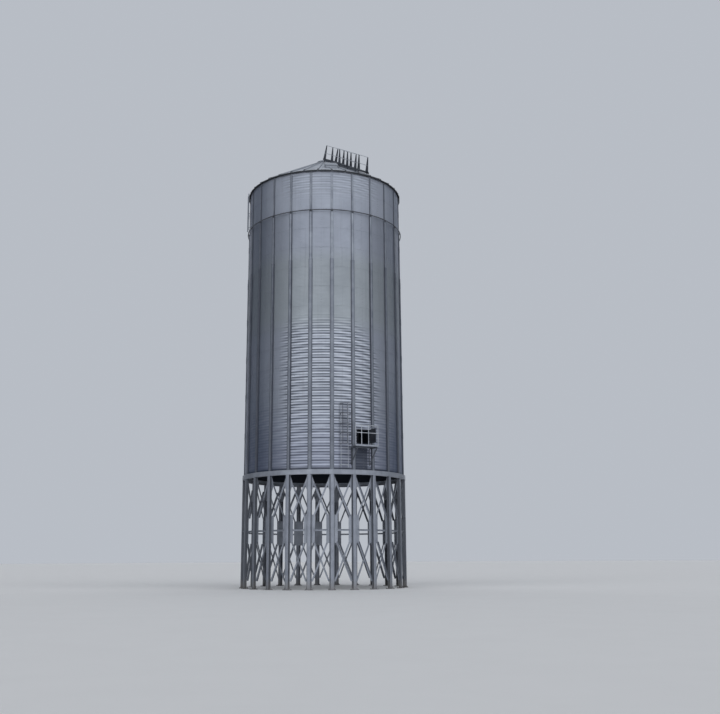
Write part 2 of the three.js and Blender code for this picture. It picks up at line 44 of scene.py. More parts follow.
# Legs and bracing. The mid plate has a foot, a head and half its width; the kite-shaped head plate a
# foot, a middle, a top, and half its widths at the middle and the ends. FOOT_END is where a brace ends
# at a leg's foot: its distance beside the leg's line, and its height.
BAYS = 24
BAY = 15.0
LEG_INNER, LEG_OUTER = 4.584, 4.724
LIP_OUTER = 4.592
PLATE_INNER, PLATE_OUTER = 4.5737, 4.5837
MID_PLATE = (2.40, 3.87, 0.30)
HEAD_PLATE = (5.06, 5.53, 5.99, 0.27, 0.11)
BRACE = 0.090
BRACE_THICK = 0.008
BRACE_INSET = 0.060
FOOT_END = (0.150, 0.440)
TIE_HEIGHT = 3.07

# Wall. The sheets wave by CORRUGATION to each side of the wall's middle; a sheet spans SHEET_BAYS.
WALL_MIDDLE = 4.58366
WALL_OUTER = 4.59066
WALL_FOOT = 6.2503
SHEETS_HEAD = 23.395
WALL_HEAD = 23.485
RING_HEIGHT = 1.143
RINGS = 15
SHEET_BAYS = 2
PITCH = 0.0762
CORRUGATION = 0.0055
SHEET = 0.003
LAP = 0.0035
SEGMENTS = 6
SEGMENT = 60.0
SEGMENT_BAYS = 4

# Stiffeners: each tier's foot, head, width and depth. The wind ring has its radius, its height and half
# its pipe's thickness.
TIERS = ((WALL_FOOT, 18.10, 0.170, 0.075), (18.10, 21.00, 0.130, 0.060), (21.00, 23.30, 0.080, 0.040))
STIFFENER_ROOT = 4.5863
LIP_FACE = 4.5946
WIND_RING = (4.700, 20.99, 0.027)

# Roof
SLOPE = math.tan(math.radians(30))
ROOF_RIBS = 36
EAVE = 4.70
ROOF_SHEET = 0.014
COLLAR = 0.4497
STAIR_BEARING = 25.0
STAIR_INNER, STAIR_OUTER = 0.54, 4.45
STAIR_RISE = 0.065
STRINGER = 0.120
STAIR_HALF = 0.405
POSTS = [0.700 + 0.887 * n for n in range(5)]
POST_LEAN = (0.28, 0.12, 0.04, 0.06, 0.13)
POST_HEIGHT = 0.950

# Manhole, platform and ladders. HOLE has its foot, its head and half its width; PLATFORM its left and
# right ends, its inner and outer radius, and the height of its floor.
MANHOLE_BEARING = 22.0
HOLE = (7.720, 8.420, 0.335)
HOLE_FLANGE = 0.035
FLANGE_FACE = 4.690
PLATFORM_BEARING = 20.1
PLATFORM = (-0.780, 0.615, 4.672, 5.530, 7.480)
PLATFORM_FRAME = 0.050
LADDER_BEARING = 8.0
LADDER_RADIUS = 4.790
LADDER_HALF = 0.200
EAVE_LADDER_BEARING = -86.0


def roof_top(radius):
    return WALL_HEAD + 0.0003 + (WALL_OUTER - radius) * SLOPE + ROOF_SHEET


# Tools of the workshop

def alone():
    """Back to the objects, with nothing selected."""
    if bpy.context.mode != "OBJECT":
        bpy.ops.object.mode_set(mode="OBJECT")
    bpy.ops.object.select_all(action="DESELECT")


def hold(*pieces):
    """Selects these pieces and nothing else; the first is the active one."""
    alone()
    for piece in pieces:
        piece.select_set(True)
    bpy.context.view_layer.objects.active = pieces[0]


def settle(piece):
    """Bakes the piece's place into its mesh, so that its object sits at the origin."""
    hold(piece)
    bpy.ops.object.transform_apply(location=True, rotation=True, scale=True)
    return piece


def put(piece, matrix):
    piece.matrix_world = matrix
    return settle(piece)


def discard(*pieces):
    for piece in pieces:
        bpy.data.objects.remove(piece)


def modify(piece, kind, **settings):
    """Gives the piece a modifier with these settings, and applies it."""
    hold(piece)
    modifier = piece.modifiers.new("shaping", kind)
    for name, value in settings.items():
        setattr(modifier, name, value)
    bpy.ops.object.modifier_apply(modifier="shaping")
    return piece


def pick_all(kind="VERT"):
    bpy.ops.mesh.select_mode(type=kind)
    bpy.ops.mesh.select_all(action="SELECT")


def open_up(piece):
    """Puts the piece in edit mode with all of it selected."""
    hold(piece)
    bpy.ops.object.mode_set(mode="EDIT")
    pick_all()


def choose(piece, kind, test):
    """Selects the vertices, edges or faces of the piece in edit mode whose middle passes the test."""
    bpy.ops.mesh.select_mode(type=kind)
    bpy.ops.mesh.select_all(action="DESELECT")
    mesh = bmesh.from_edit_mesh(piece.data)
    for part in {"VERT": mesh.verts, "EDGE": mesh.edges, "FACE": mesh.faces}[kind]:
        corners = [part.co] if kind == "VERT" else [corner.co for corner in part.verts]
        part.select_set(bool(test(sum(corners, Vector()) / len(corners))))
    bmesh.update_edit_mesh(piece.data)


def push(vector):
    """Extrudes what is selected."""
    bpy.ops.mesh.extrude_region_move(TRANSFORM_OT_translate={"value": Vector(vector)})


def outward():
    bpy.ops.mesh.select_all(action="SELECT")
    bpy.ops.mesh.normals_make_consistent(inside=False)
    bpy.ops.object.mode_set(mode="OBJECT")


def draw(points, closed=False):
    """An outline drawn point by point; a closed one is filled with a face."""
    alone()
    bpy.ops.mesh.primitive_plane_add(size=0.01)
    piece = bpy.context.object
    bpy.ops.object.mode_set(mode="EDIT")
    pick_all()
    bpy.ops.mesh.merge(type="CENTER")
    bpy.ops.transform.translate(value=Vector(points[0]))
    for here, there in zip(points, points[1:]):
        push(Vector(there) - Vector(here))
    bpy.ops.mesh.select_all(action="SELECT")
    if closed:
        bpy.ops.mesh.edge_face_add()
    return piece


def soften(piece, width, segments=1):
    """Takes the sharp arrises off; with no width they stay."""
    if not width:
        return piece
    return modify(piece, "BEVEL", width=width, segments=segments, limit_method="ANGLE",
                  angle_limit=math.radians(40))


def plate(points, vector, round_off=0.0015):
    """A plate of this outline, as thick as the vector is long."""
    piece = draw(points, closed=True)
    pick_all("FACE")
    push(vector)
    outward()
    return soften(piece, round_off)


def side_plate(points, x0, x1, round_off=0.0015):
    """A plate in the radial plane; its outline is in (radius, height)."""
    return plate([(x0, -r, z) for r, z in points], (x1 - x0, 0, 0), round_off)


def face_plate(points, inner, outer, round_off=0.0015):
    """A plate facing outwards; its outline is in (x, height)."""
    return plate([(x, -inner, z) for x, z in points], (0, inner - outer, 0), round_off)


def roof_plate(r0, r1, low, high, x0, x1, round_off=0.0015):
    """A plate along the roof's slope between two radii, from one height above the roof to another."""
    corners = ((r0, low), (r1, low), (r1, high), (r0, high))
    return side_plate([(r, roof_top(r) + rise) for r, rise in corners], x0, x1, round_off)


def box(x0, x1, inner, outer, z0, z1, round_off=0.0015):
    """A square bar or block with its arrises taken off."""
    alone()
    bpy.ops.mesh.primitive_cube_add(size=1)
    piece = bpy.context.object
    piece.location = ((x0 + x1) / 2, -(inner + outer) / 2, (z0 + z1) / 2)
    piece.scale = (x1 - x0, outer - inner, z1 - z0)
    return soften(settle(piece), round_off)


def cylinder(radius, depth, sides, place, turn=(0, 0, 0)):
    alone()
    bpy.ops.mesh.primitive_cylinder_add(vertices=sides, radius=radius, depth=depth, end_fill_type="NGON",
                                        location=place, rotation=turn)
    return settle(bpy.context.object)


def hoop(radius, half_bar, steps, sides, place, turn=(0, 0, 0)):
    """A round bar bent to a full circle."""
    alone()
    bpy.ops.mesh.primitive_torus_add(major_segments=steps, minor_segments=sides, major_radius=radius,
                                     minor_radius=half_bar, location=place, rotation=turn)
    return settle(bpy.context.object)


def folded(points, vector, thickness, bend, steps=2):
    """Sheet folded along this path, which is the middle of its thickness, and as long as the vector."""
    piece = draw(points)
    ends = [Vector(points[0]), Vector(points[-1])]
    if bend:
        choose(piece, "VERT", lambda v: all((v - end).length > 1e-5 for end in ends))
        bpy.ops.mesh.bevel(offset=bend, segments=steps, affect="VERTICES")
    pick_all("EDGE")
    push(vector)
    outward()
    return modify(piece, "SOLIDIFY", thickness=thickness, offset=0)


def lay(piece, start, end, facing):
    """Lays a piece made along +Z from the origin between two points, with its +Y side to the facing."""
    start, end = Vector(start), Vector(end)
    along = (end - start).normalized()
    across = Vector(facing).cross(along).normalized()
    out = along.cross(across)
    return put(piece, Matrix.Translation(start) @ Matrix((across, out, along)).transposed().to_4x4())


def tube(start, end, radius, sides=12):
    """A round bar with slightly rounded ends."""
    length = (Vector(end) - Vector(start)).length
    piece = soften(cylinder(radius, length, sides, (0, 0, length / 2)), min(radius * 0.25, 0.003))
    facing = (0, -1, 0) if abs(end[1] - start[1]) < 0.9 * length else (0, 0, 1)
    return lay(piece, start, end, facing)


def angle_bar(start, end, facing, size=BRACE, thickness=BRACE_THICK):
    """A rolled angle: one leg flat, the other standing out to the facing."""
    half, middle = size / 2, thickness / 2
    length = (Vector(end) - Vector(start)).length
    path = [(-half, middle, 0), (half - middle, middle, 0), (half - middle, size, 0)]
    return lay(folded(path, (0, 0, length), thickness, bend=0.008), start, end, facing)


def about(bearing):
    """The turn round the silo's centre line to this bearing."""
    return Matrix.Rotation(math.radians(bearing), 4, "Z")


def at(bearing, x, radius, z):
    """The place given by a bearing, a distance along the wall from it, a radius and a height."""
    turn = math.radians(bearing)
    cos, sin = math.cos(turn), math.sin(turn)
    return Vector((x * cos + radius * sin, x * sin - radius * cos, z))


def join(*pieces):
    hold(*pieces)
    if len(pieces) > 1:
        bpy.ops.object.join()
    return pieces[0]


def copy(piece, matrix):
    """A copy with its own mesh, put in place by the matrix."""
    hold(piece)
    bpy.ops.object.duplicate()
    return put(bpy.context.object, matrix)


def row(piece, count, step):
    """Repeats the piece count times, step apart, as one piece."""
    return modify(piece, "ARRAY", use_relative_offset=False, use_constant_offset=True,
                  constant_offset_displace=step, count=count)


def round_row(piece, count, step):
    """Repeats the piece count times round the silo, step degrees apart, as one piece."""
    copies = [copy(piece, about(n * step)) for n in range(1, count)]
    return join(piece, *copies)


def spun(points, steps, angle=360.0, closed=True):
    """A section in (radius, height), spun round the silo's centre line, about the front if not all round."""
    start = angle / 2 if angle < 360 else 0
    piece = draw([at(start, 0, r, z) for r, z in points])
    if closed:
        mesh = bmesh.from_edit_mesh(piece.data)
        mesh.edges.new([v for v in mesh.verts if len(v.link_edges) == 1])
        bmesh.update_edit_mesh(piece.data)
    pick_all()
    bpy.ops.mesh.spin(steps=steps, angle=math.radians(angle), center=(0, 0, 0), axis=(0, 0, 1))
    bpy.ops.mesh.select_all(action="SELECT")
    bpy.ops.mesh.remove_doubles(threshold=1e-5)
    outward()
    return piece


def face_out(piece):
    """Turns a single sheet's faces away from the centre line."""
    middle = piece.data.polygons[len(piece.data.polygons) // 2]
    if middle.normal.x * middle.center.x + middle.normal.y * middle.center.y < 0:
        open_up(piece)
        bpy.ops.mesh.flip_normals()
        bpy.ops.object.mode_set(mode="OBJECT")
    return piece


def cut(piece, cutter):
    """Cuts the cutter's shape out of the piece."""
    modify(piece, "BOOLEAN", operation="DIFFERENCE", object=cutter, solver="EXACT")
    discard(cutter)
    return piece


def fit(piece, name, material, slot, *nodes, sharp=32.0):
    """Names the finished piece, gives it its finish and sets it in the place of its CAD nodes."""
    hold(piece)
    bpy.ops.object.shade_smooth_by_angle(angle=math.radians(sharp))
    piece.name = name
    piece.data.name = name
    piece.data.materials.clear()
    piece.data.materials.append(material)
    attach(piece, "root")
    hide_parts(*nodes)


# Bolts: one of each kind is made, and copied

BOLT_RADIUS, BOLT_HEIGHT = 0.010, 0.008


def hexagon():
    """A plain hexagon head, standing on y = 0 and pointing outwards."""
    return cylinder(BOLT_RADIUS, BOLT_HEIGHT, 6, (0, -BOLT_HEIGHT / 2, 0), (math.radians(90), 0, 0))


def bolt_head():
    """A hexagon head with its crown chamfered."""
    head = hexagon()
    bpy.ops.object.mode_set(mode="EDIT")
    choose(head, "FACE", lambda c: c.y < -BOLT_HEIGHT + 1e-4)
    bpy.ops.mesh.inset(thickness=BOLT_RADIUS * 0.22)
    bpy.ops.transform.translate(value=(0, -BOLT_HEIGHT * 0.2, 0))
    bpy.ops.object.mode_set(mode="OBJECT")
    return head


HEAD = bolt_head()
SMALL = hexagon()


def bolt(pattern, bearing, x, radius, z, inward=False):
    """A copy of the bolt with its seat at this place, its head outwards or inwards."""
    turn = about(bearing + (180 if inward else 0))
    return copy(pattern, Matrix.Translation(at(bearing, x, radius, z)) @ turn)


# Finishes

def wire(tree, kind, sockets, **settings):
    """A new node of this kind. Its sockets, by name or number, are linked to others or set to a value."""
    node = tree.nodes.new("ShaderNode" + kind)
    for name, value in settings.items():
        setattr(node, name, value)
    for name, value in sockets.items():
        if isinstance(value, Field):
            value = value.socket
        if isinstance(value, bpy.types.NodeSocket):
            tree.links.new(value, node.inputs[name])
        else:
            node.inputs[name].default_value = value
    return node


class Field:
    """A value that varies over a surface. What is reckoned with it is a field again."""

    def __init__(self, tree, socket):
        self.tree = tree
        self.socket = socket

    def reckon(self, kind, *others):
        sockets = dict(enumerate((self, *others)))
        return Field(self.tree, wire(self.tree, "Math", sockets, operation=kind).outputs[0])

    def __add__(self, other):
        return self.reckon("ADD", other)

    def __sub__(self, other):
        return self.reckon("SUBTRACT", other)

    def __mul__(self, other):
        return self.reckon("MULTIPLY", other)

    def __truediv__(self, other):
        return self.reckon("DIVIDE", other)

    def __abs__(self):
        return self.reckon("ABSOLUTE")

    def sine(self):
        return self.reckon("SINE")

    def whole(self):
        return self.reckon("FLOOR")

    def fraction(self):
        return self.reckon("FRACT")

    def most(self, other):
        return self.reckon("MAXIMUM", other)

    def ramp(self, low, high, first=0.0, last=1.0):
        """Goes from first to last between low and high, and is held beyond them."""
        sockets = {"Value": self, "From Min": low, "From Max": high, "To Min": first, "To Max": last}
        return Field(self.tree, wire(self.tree, "MapRange", sockets).outputs["Result"])


class Finish:
    """A material whose tone is laid on coat by coat, over fields of the place on the piece."""

    def __init__(self, name, tone):
        self.material = bpy.data.materials.new(name)
        self.material.use_nodes = True
        self.tree = self.material.node_tree
        self.shader = self.tree.nodes["Principled BSDF"]
        self.place = wire(self.tree, "TexCoord", {}).outputs["Object"]
        split = wire(self.tree, "SeparateXYZ", {"Vector": self.place})
        self.x, self.y, self.z = (Field(self.tree, socket) for socket in split.outputs)
        self.tone = (*tone, 1.0)

    def turn(self):
        """The bearing round the silo, in radians from the front."""
        return self.x.reckon("ARCTAN2", self.y * -1.0)

    def stretched(self, scale):
        """The place on the piece, squeezed or stretched along its axes."""
        return wire(self.tree, "Mapping", {"Vector": self.place, "Scale": scale}).outputs["Vector"]

    def reckon(self, kind, output, *vectors):
        return wire(self.tree, "VectorMath", dict(enumerate(vectors)), operation=kind).outputs[output]

    def out(self):
        """The distance from the silo's centre line."""
        return Field(self.tree, self.reckon("LENGTH", "Value", self.stretched((1, 1, 0))))

    def looking(self, way):
        """How far a face looks this way."""
        normal = wire(self.tree, "NewGeometry", {}).outputs["Normal"]
        return Field(self.tree, self.reckon("DOT_PRODUCT", "Value", normal, way))

    def facing_in(self):
        """One on faces turned to the silo's centre line, nought on the others."""
        return self.looking(self.stretched((1, 1, 0))).ramp(-1.0, 0.0, 1.0, 0.0)

    def side_on(self):
        """One on faces that look along the wall, nought on those that look out from it."""
        out = self.reckon("NORMALIZE", "Vector", self.stretched((1, 1, 0)))
        return abs(self.looking(out)).ramp(0.30, 0.75, 1.0, 0.0)

    def mottle(self, scale, detail, stretch=None):
        """Soft patches; more detail makes their edges ragged."""
        place = self.stretched(stretch) if stretch else self.place
        sockets = {"Vector": place, "Scale": scale, "Detail": detail, "Roughness": 0.6}
        return Field(self.tree, wire(self.tree, "TexNoise", sockets).outputs["Fac"])

    def crystals(self, scale):
        cells = wire(self.tree, "TexVoronoi", {"Vector": self.place, "Scale": scale})
        return Field(self.tree, cells.outputs["Distance"])

    def own_value(self, first, second):
        """A value of its own for each pair of whole numbers."""
        pair = wire(self.tree, "CombineXYZ", {"X": first, "Y": second}).outputs["Vector"]
        noise = wire(self.tree, "TexWhiteNoise", {"Vector": pair}, noise_dimensions="2D")
        return Field(self.tree, noise.outputs["Value"])

    def coat(self, share, colour, kind="MIX"):
        """Lays a coat of the colour over the tone so far, as thick as its share."""
        sockets = {"Factor": share, 6: self.tone, 7: (*colour, 1.0)}
        self.tone = wire(self.tree, "Mix", sockets, data_type="RGBA", blend_type=kind).outputs[2]
        self.tree.links.new(self.tone, self.shader.inputs["Base Color"])

    def done(self, rough, metal, height, strength, depth):
        """Gives the finish its roughness, its metal and its relief, and hands over the material."""
        self.tree.links.new(rough.socket, self.shader.inputs["Roughness"])
        self.shader.inputs["Metallic"].default_value = metal
        bump = wire(self.tree, "Bump", {"Height": height, "Strength": strength, "Distance": depth})
        self.tree.links.new(bump.outputs["Normal"], self.shader.inputs["Normal"])
        return self.material


# Rain streaks are narrow and long
RAIN = (9.0, 9.0, 0.35)
# Black for the painted shade round the manhole's opening
OPENING_SHADE_BLACK = (0.014, 0.016, 0.022)
SOIL_BROWN = (0.26, 0.235, 0.205)


def galvanised(name, light, dark, metal=0.45, streaks=0.3, lips=None, aside=0.0, soil=0.0, flanks=0.0,
               opening_shade=0.0):
    """Zinc-coated steel: a faint crystal pattern, dull patches and rain streaks. Lips turned inwards get
    painted shade, as in a recess, with some dirt: it begins at the outer of two radii and has its full
    share at the inner one. Faces that look aside and the silo's two flanks get painted shade too. Soil is
    splashed over the lowest half metre. The opening shade is a black rim painted round the manhole as the
    shade of its opening: how far it reaches from the opening."""
    finish = Finish(name, light)
    grime_and_shade = tuple(part * 0.35 for part in dark)
    patches = finish.mottle(1.7, 5.0)
    streak = finish.mottle(1.0, 3.0, RAIN)
    fine = finish.mottle(34.0, 2.0)
    crystal = finish.crystals(55.0)
    finish.coat(patches.ramp(0.36, 0.66), dark)
    finish.coat(crystal.ramp(0.0, 0.7, 0.0, 0.22), dark)
    finish.coat(streak.ramp(0.54, 0.74, 0.0, streaks), grime_and_shade)
    finish.coat(fine.ramp(0.60, 0.80, 0.0, 0.16), light)
    # Painted shade in the recess inside the lips, with some dirt
    if lips:
        inner, outer, share = lips
        finish.coat(finish.out().ramp(inner, outer, share, 0.0), grime_and_shade)
    # Painted shade on faces that look aside
    if aside:
        finish.coat(finish.side_on() * aside, grime_and_shade)
    # Painted shade on the silo's flanks
    if flanks:
        finish.coat(abs(finish.y).ramp(2.0, 4.3, flanks, 0.0), grime_and_shade)
    # A black rim painted as the shade of the manhole's opening
    if opening_shade:
        low, high, half = HOLE
        beside = abs(finish.turn() - math.radians(MANHOLE_BEARING)) * WALL_OUTER - half
        above = abs(finish.z - (low + high) / 2) - (high - low) / 2
        finish.coat(beside.most(above).ramp(opening_shade - 0.005, opening_shade + 0.005, 1.0, 0.0), OPENING_SHADE_BLACK)
    if soil:
        splash = finish.z + patches * 0.5
        finish.coat(splash.ramp(0.25, 0.85, soil, 0.0), SOIL_BROWN)
    return finish.done(patches.ramp(0.3, 0.7, 0.45, 0.65), metal, fine + crystal, 0.12, 0.0008)


# Where the wall's weathering and its painted light and shade change: distances forward or back from
# its middle, then heights, and the radius at which the stiffeners' width is reckoned
FLANK = (2.1, 3.35)
FRONT = (3.55, 3.98)
LOW_FOLD_LIGHT = (8.8, 10.2)
FOLD_LIGHT_HEAD = (13.9, 15.0)
LIGHT_TIER = (17.9, 18.3)
AT_WIND_RING = (20.9, 21.1)
STIFFENER_RADIUS = 4.62


def sheet_finish():
    """The wall's corrugated sheets: each weathered in its own tone; painted highlights and shade lie along
    the corrugations of the lower sheets, a painted shadow lies below the platform and a darker patch
    behind the ladder, and the inside is painted dark as shade."""
    light, dark = (0.43, 0.462, 0.535), (0.28, 0.303, 0.36)
    # The second pair: a dark for painted shade on folds, laps and sheet ends, and a pale for painted
    # highlights and reflection
    shade_dark, pale = (0.085, 0.097, 0.125), (0.74, 0.78, 0.86)
    finish = Finish("corrugated_sheet", light)
    turn, z, depth = finish.turn(), finish.z, abs(finish.y)
    ring = (z - WALL_FOOT) / RING_HEIGHT
    along = (turn - math.radians(BAY / 2)) / math.radians(SHEET_BAYS * BAY) + ring.whole() * 0.5
    own = finish.own_value(ring.whole(), along.whole())
    patches = finish.mottle(0.8, 5.0)
    streak = finish.mottle(1.0, 4.0, (7.0, 7.0, 0.22))
    fine = finish.mottle(30.0, 2.0)
    upper = z.ramp(13.2, 14.6)
    finish.coat(patches.ramp(0.34, 0.68, 0.0, 0.30), dark)
    finish.coat(own * upper.ramp(0.0, 1.0, 0.10, 0.05), dark)

    # Painted highlights and shade of the folds: on every second fold, and in bands about five folds apart
    # that arch over front and back
    arch = (turn + math.radians(8)).sine().reckon("POWER", 2.0)
    rise = arch * z.ramp(6.0, 16.0, 0.85, 1.75)
    second = (z * (math.pi / PITCH)).sine()
    above = z - 11.0
    fifth = (((z + rise) * 2.75 + above * above * 0.04) * (2 * math.pi)).sine()
    waver = finish.mottle(1.0, 2.0, (0.9, 0.9, 4.5))
    lines = second * waver.ramp(0.36, 0.62, 0.34, 0.66) + fifth * 0.30 + (waver - 0.5) * 0.6
    fold_light_and_shade = (z + arch * arch * 9.0).ramp(*FOLD_LIGHT_HEAD, 1.0, 0.0).most(z.ramp(21.6, 22.6, 0.0, 0.34))
    fold_light_and_shade = fold_light_and_shade * depth.ramp(*FRONT).most(z.ramp(*LOW_FOLD_LIGHT, 0.30, 0.04))
    # Painted shade on one side of each fold line, painted highlight on the other
    finish.coat(fold_light_and_shade * lines.ramp(0.0, 0.6, 0.0, 0.90), shade_dark)
    finish.coat(fold_light_and_shade * lines.ramp(0.0, -0.6, 0.0, 0.85), pale)

    # Rain streaks, painted shade under the laps and along the sheets' ends, and a painted shadow gap
    # along the foot
    finish.coat(streak.ramp(0.54, 0.76, 0.0, 0.22), (0.20, 0.208, 0.23))
    finish.coat(ring.fraction().ramp(0.80, 1.0) * upper.ramp(0.0, 1.0, 0.12, 0.035), shade_dark)
    finish.coat(abs(along.fraction() - 0.5).ramp(0.478, 0.497, 0.0, 0.06), shade_dark)
    finish.coat(z.ramp(WALL_FOOT + 0.08, WALL_FOOT + 0.17, 0.95, 0.0), (0.022, 0.026, 0.036))

    # Darker at the foot and below the wind ring, paler above it as a painted reflection, and painted shade
    # on the flanks
    dull = z.ramp(13.0, 17.0, 0.0, 0.23) * z.ramp(*AT_WIND_RING, 1.0, 0.0)
    finish.coat(dull + z.ramp(7.0, 9.0, 0.26, 0.0), dark)
    finish.coat(z.ramp(*AT_WIND_RING, 0.0, 0.14), pale)
    low = z.ramp(7.5, 12.5, 1.0, 0.0)
    flank = (depth - low * 0.65).ramp(*FLANK, 1.0, 0.0) * low.ramp(0.0, 1.0, 0.44, 0.66)
    finish.coat(flank, (0.070, 0.101, 0.165))

    # A warmer grey between the rings with painted fold light and the lighter tiers, and a colder one at the
    # foot
    warm = z.ramp(13.8, 14.8) * z.ramp(17.9, 18.9, 1.0, 0.0)
    finish.coat(warm, (0.99, 1.0, 0.93), "MULTIPLY")
    finish.coat(z.ramp(7.0, 10.0, 1.0, 0.0), (0.93, 0.93, 0.99), "MULTIPLY")

    # Painted shadow below the platform, and a faint darker patch behind the ladder
    for middle, half, foot, head, at_foot, at_head in ((20.6, 5.6, 6.5, 7.45, 0.84, 0.96),
                                                       (8.5, 4.5, 6.3, 9.9, 0.30, 0.26)):
        beside = abs(turn - math.radians(middle))
        across = beside.ramp(math.radians(half - 1.0), math.radians(half), 1.0, 0.0)
        dark_patch = across * z.ramp(foot, head, at_foot, at_head) * z.ramp(head, head + 0.1, 1.0, 0.0)
        finish.coat(dark_patch, (0.055, 0.064, 0.090))
    finish.coat(fine.ramp(0.62, 0.8, 0.0, 0.12), light)
    # Painted shade: the faces turned to the centre, the inside of the wall, are painted dark
    finish.coat(finish.facing_in(), (0.024, 0.030, 0.042))
    rough = patches.ramp(0.3, 0.7, 0.40, 0.54) + z.ramp(*AT_WIND_RING, 0.0, 0.14)
    return finish.done(rough, 0.70, fine, 0.08, 0.0006)


def stiffener_finish():
    """The stiffeners: duller than the sheets on the wide tier, with painted shade along their edges and
    sides and on the silo's flanks, and fainter on the light tiers above."""
    light, dark, grime_and_shade = (0.40, 0.432, 0.492), (0.30, 0.326, 0.38), (0.065, 0.073, 0.098)
    finish = Finish("stiffener_steel", light)
    y, z = finish.y, finish.z
    bay = finish.turn() / math.radians(BAY) + 0.5
    beside = abs(bay.fraction() - 0.5) * (math.radians(BAY) * STIFFENER_RADIUS)
    wide, middle = TIERS[0], TIERS[1]
    at_middle = (wide[1] - 0.01, wide[1] + 0.01)
    at_narrow = (middle[1] - 0.01, middle[1] + 0.01)
    half = z.ramp(*at_middle, wide[2] / 2, middle[2] / 2) - z.ramp(*at_narrow, 0.0, 0.022)
    edge = (beside / half).ramp(0.58, 0.86)
    patches = finish.mottle(1.7, 5.0)
    finish.coat(patches.ramp(0.36, 0.66), dark)
    finish.coat(finish.mottle(1.0, 3.0, RAIN).ramp(0.54, 0.74, 0.0, 0.3), grime_and_shade)
    finish.coat(z.ramp(*at_middle, 0.28, 0.0), grime_and_shade)
    finish.coat(z.ramp(8.0, 11.5, 0.20, 0.0), grime_and_shade)
    # Painted shade along the edges, little at the very front, and on the silo's flanks
    strength = z.ramp(*LIGHT_TIER, 0.72, 0.70) * y.ramp(-4.62, -4.36)
    finish.coat(edge * strength.most(z.ramp(*LIGHT_TIER, 0.18, 0.0)), grime_and_shade)
    finish.coat(abs(y).ramp(*FLANK, 0.40, 0.0), grime_and_shade)
    return finish.done(patches.ramp(0.3, 0.7, 0.45, 0.62), 0.6, patches, 0.08, 0.0008)


def roof_finish():
    """The roof's sheets, washed pale in the middle of each panel, dark along the drip edge and at the ribs'
    ends, and painted dark underneath as shade."""
    finish = Finish("roof_sheet", (0.475, 0.507, 0.56))
    panel = finish.turn() / math.radians(360 / ROOF_RIBS)
    beside = abs(panel.fraction() - 0.5)
    fine = finish.mottle(30.0, 2.0)
    finish.coat(finish.mottle(1.3, 5.0).ramp(0.34, 0.68), (0.38, 0.406, 0.455))
    finish.coat(beside.ramp(0.34, 0.48, 0.0, 0.12), (0.20, 0.20, 0.21))
    out = finish.out()
    above = finish.z + out * SLOPE - roof_top(0.0)
    black = 0.93
    rib_ends = above.ramp(0.006, 0.020) * out.ramp(4.42, 4.47, 0.0, black)
    drip_edge = out.ramp(4.665, 4.678, 0.0, black)
    finish.coat(drip_edge.most(rib_ends), (0.012, 0.013, 0.016))
    # Painted shade: the faces turned to the centre, the roof's underside, are painted dark
    finish.coat(finish.facing_in(), (0.06, 0.06, 0.065))
    return finish.done(fine.ramp(0.3, 0.7, 0.45, 0.62), 0.4, fine, 0.1, 0.0008)


def paint_finish():
    """Dark grey paint on the manhole's door, chalky, with scuffs down to the primer."""
    finish = Finish("dark_door_paint", (0.028, 0.033, 0.045))
    patches = finish.mottle(4.0, 5.0)
    scuffs = finish.mottle(1.0, 5.0, (6.0, 6.0, 22.0))
    finish.coat(patches.ramp(0.35, 0.65), (0.048, 0.054, 0.068))
    finish.coat(scuffs.ramp(0.64, 0.74, 0.0, 0.4), (0.16, 0.165, 0.175))
    return finish.done(scuffs.ramp(0.3, 0.7, 0.5, 0.7), 0.0, patches, 0.1, 0.001)


SHEET_STEEL = sheet_finish()
ROOF_STEEL = roof_finish()
DOOR_PAINT = paint_finish()
STIFFENER_STEEL = stiffener_finish()
# Painted shade below: in the legs' lips, on side-on faces, on the silo's flanks and round the manhole opening
LEG_STEEL = galvanised("leg_galvanising", (0.385, 0.413, 0.475), (0.30, 0.324, 0.378),
                       lips=(4.600, 4.700, 0.55), aside=0.80, soil=0.55, flanks=0.55)
BRACE_STEEL = galvanised("brace_galvanising", (0.42, 0.45, 0.512), (0.325, 0.35, 0.405),
                         aside=0.55, flanks=0.45)
BEAM_STEEL = galvanised("beam_galvanising", (0.46, 0.492, 0.555), (0.345, 0.37, 0.425), flanks=0.45)
FRAME_STEEL = galvanised("manhole_frame_steel", (0.44, 0.465, 0.51), (0.33, 0.35, 0.39),
                         aside=0.9, opening_shade=0.055)
RING_STEEL = galvanised("wind_ring_grime", (0.15, 0.16, 0.18), (0.09, 0.095, 0.11))
STAIR_STEEL = galvanised("stair_grime", (0.13, 0.142, 0.165), (0.085, 0.093, 0.11))
# A lighter copy of the galvanising for rails and the wall ladder: painted highlight
RAIL_STEEL = galvanised("rail_galvanising", (0.62, 0.65, 0.70), (0.48, 0.505, 0.55))
HATCH_STEEL = galvanised("hatch_galvanising", (0.42, 0.45, 0.50), (0.31, 0.33, 0.37))
ACCESS_STEEL = galvanised("platform_galvanising", (0.45, 0.48, 0.54), (0.31, 0.334, 0.385), aside=0.5)
# A darker copy of the galvanising for the ladder cage and the platform's brackets: painted shade
CAGE_STEEL = galvanised("cage_painted_shade", (0.21, 0.225, 0.26), (0.12, 0.13, 0.155))
BOLT_STEEL = galvanised("bolt_zinc", (0.34, 0.362, 0.41), (0.20, 0.213, 0.24), metal=0.6, streaks=0.5)


# Legs: a folded hat section, its open side to the centre, on a base plate with anchor bolts

def anchor(x, radius):
    """An anchor bolt: washer, nut and the end of the stud."""
    stack = ((0.026, 0.004, 16, 0.022, 0), (0.020, 0.016, 6, 0.032, 0.002),
             (0.010, 0.045, 12, 0.0455, 0.0015))
    return join(*[soften(cylinder(size, depth, sides, (x, -radius, middle)), round_off)
                  for size, depth, sides, middle, round_off in stack])


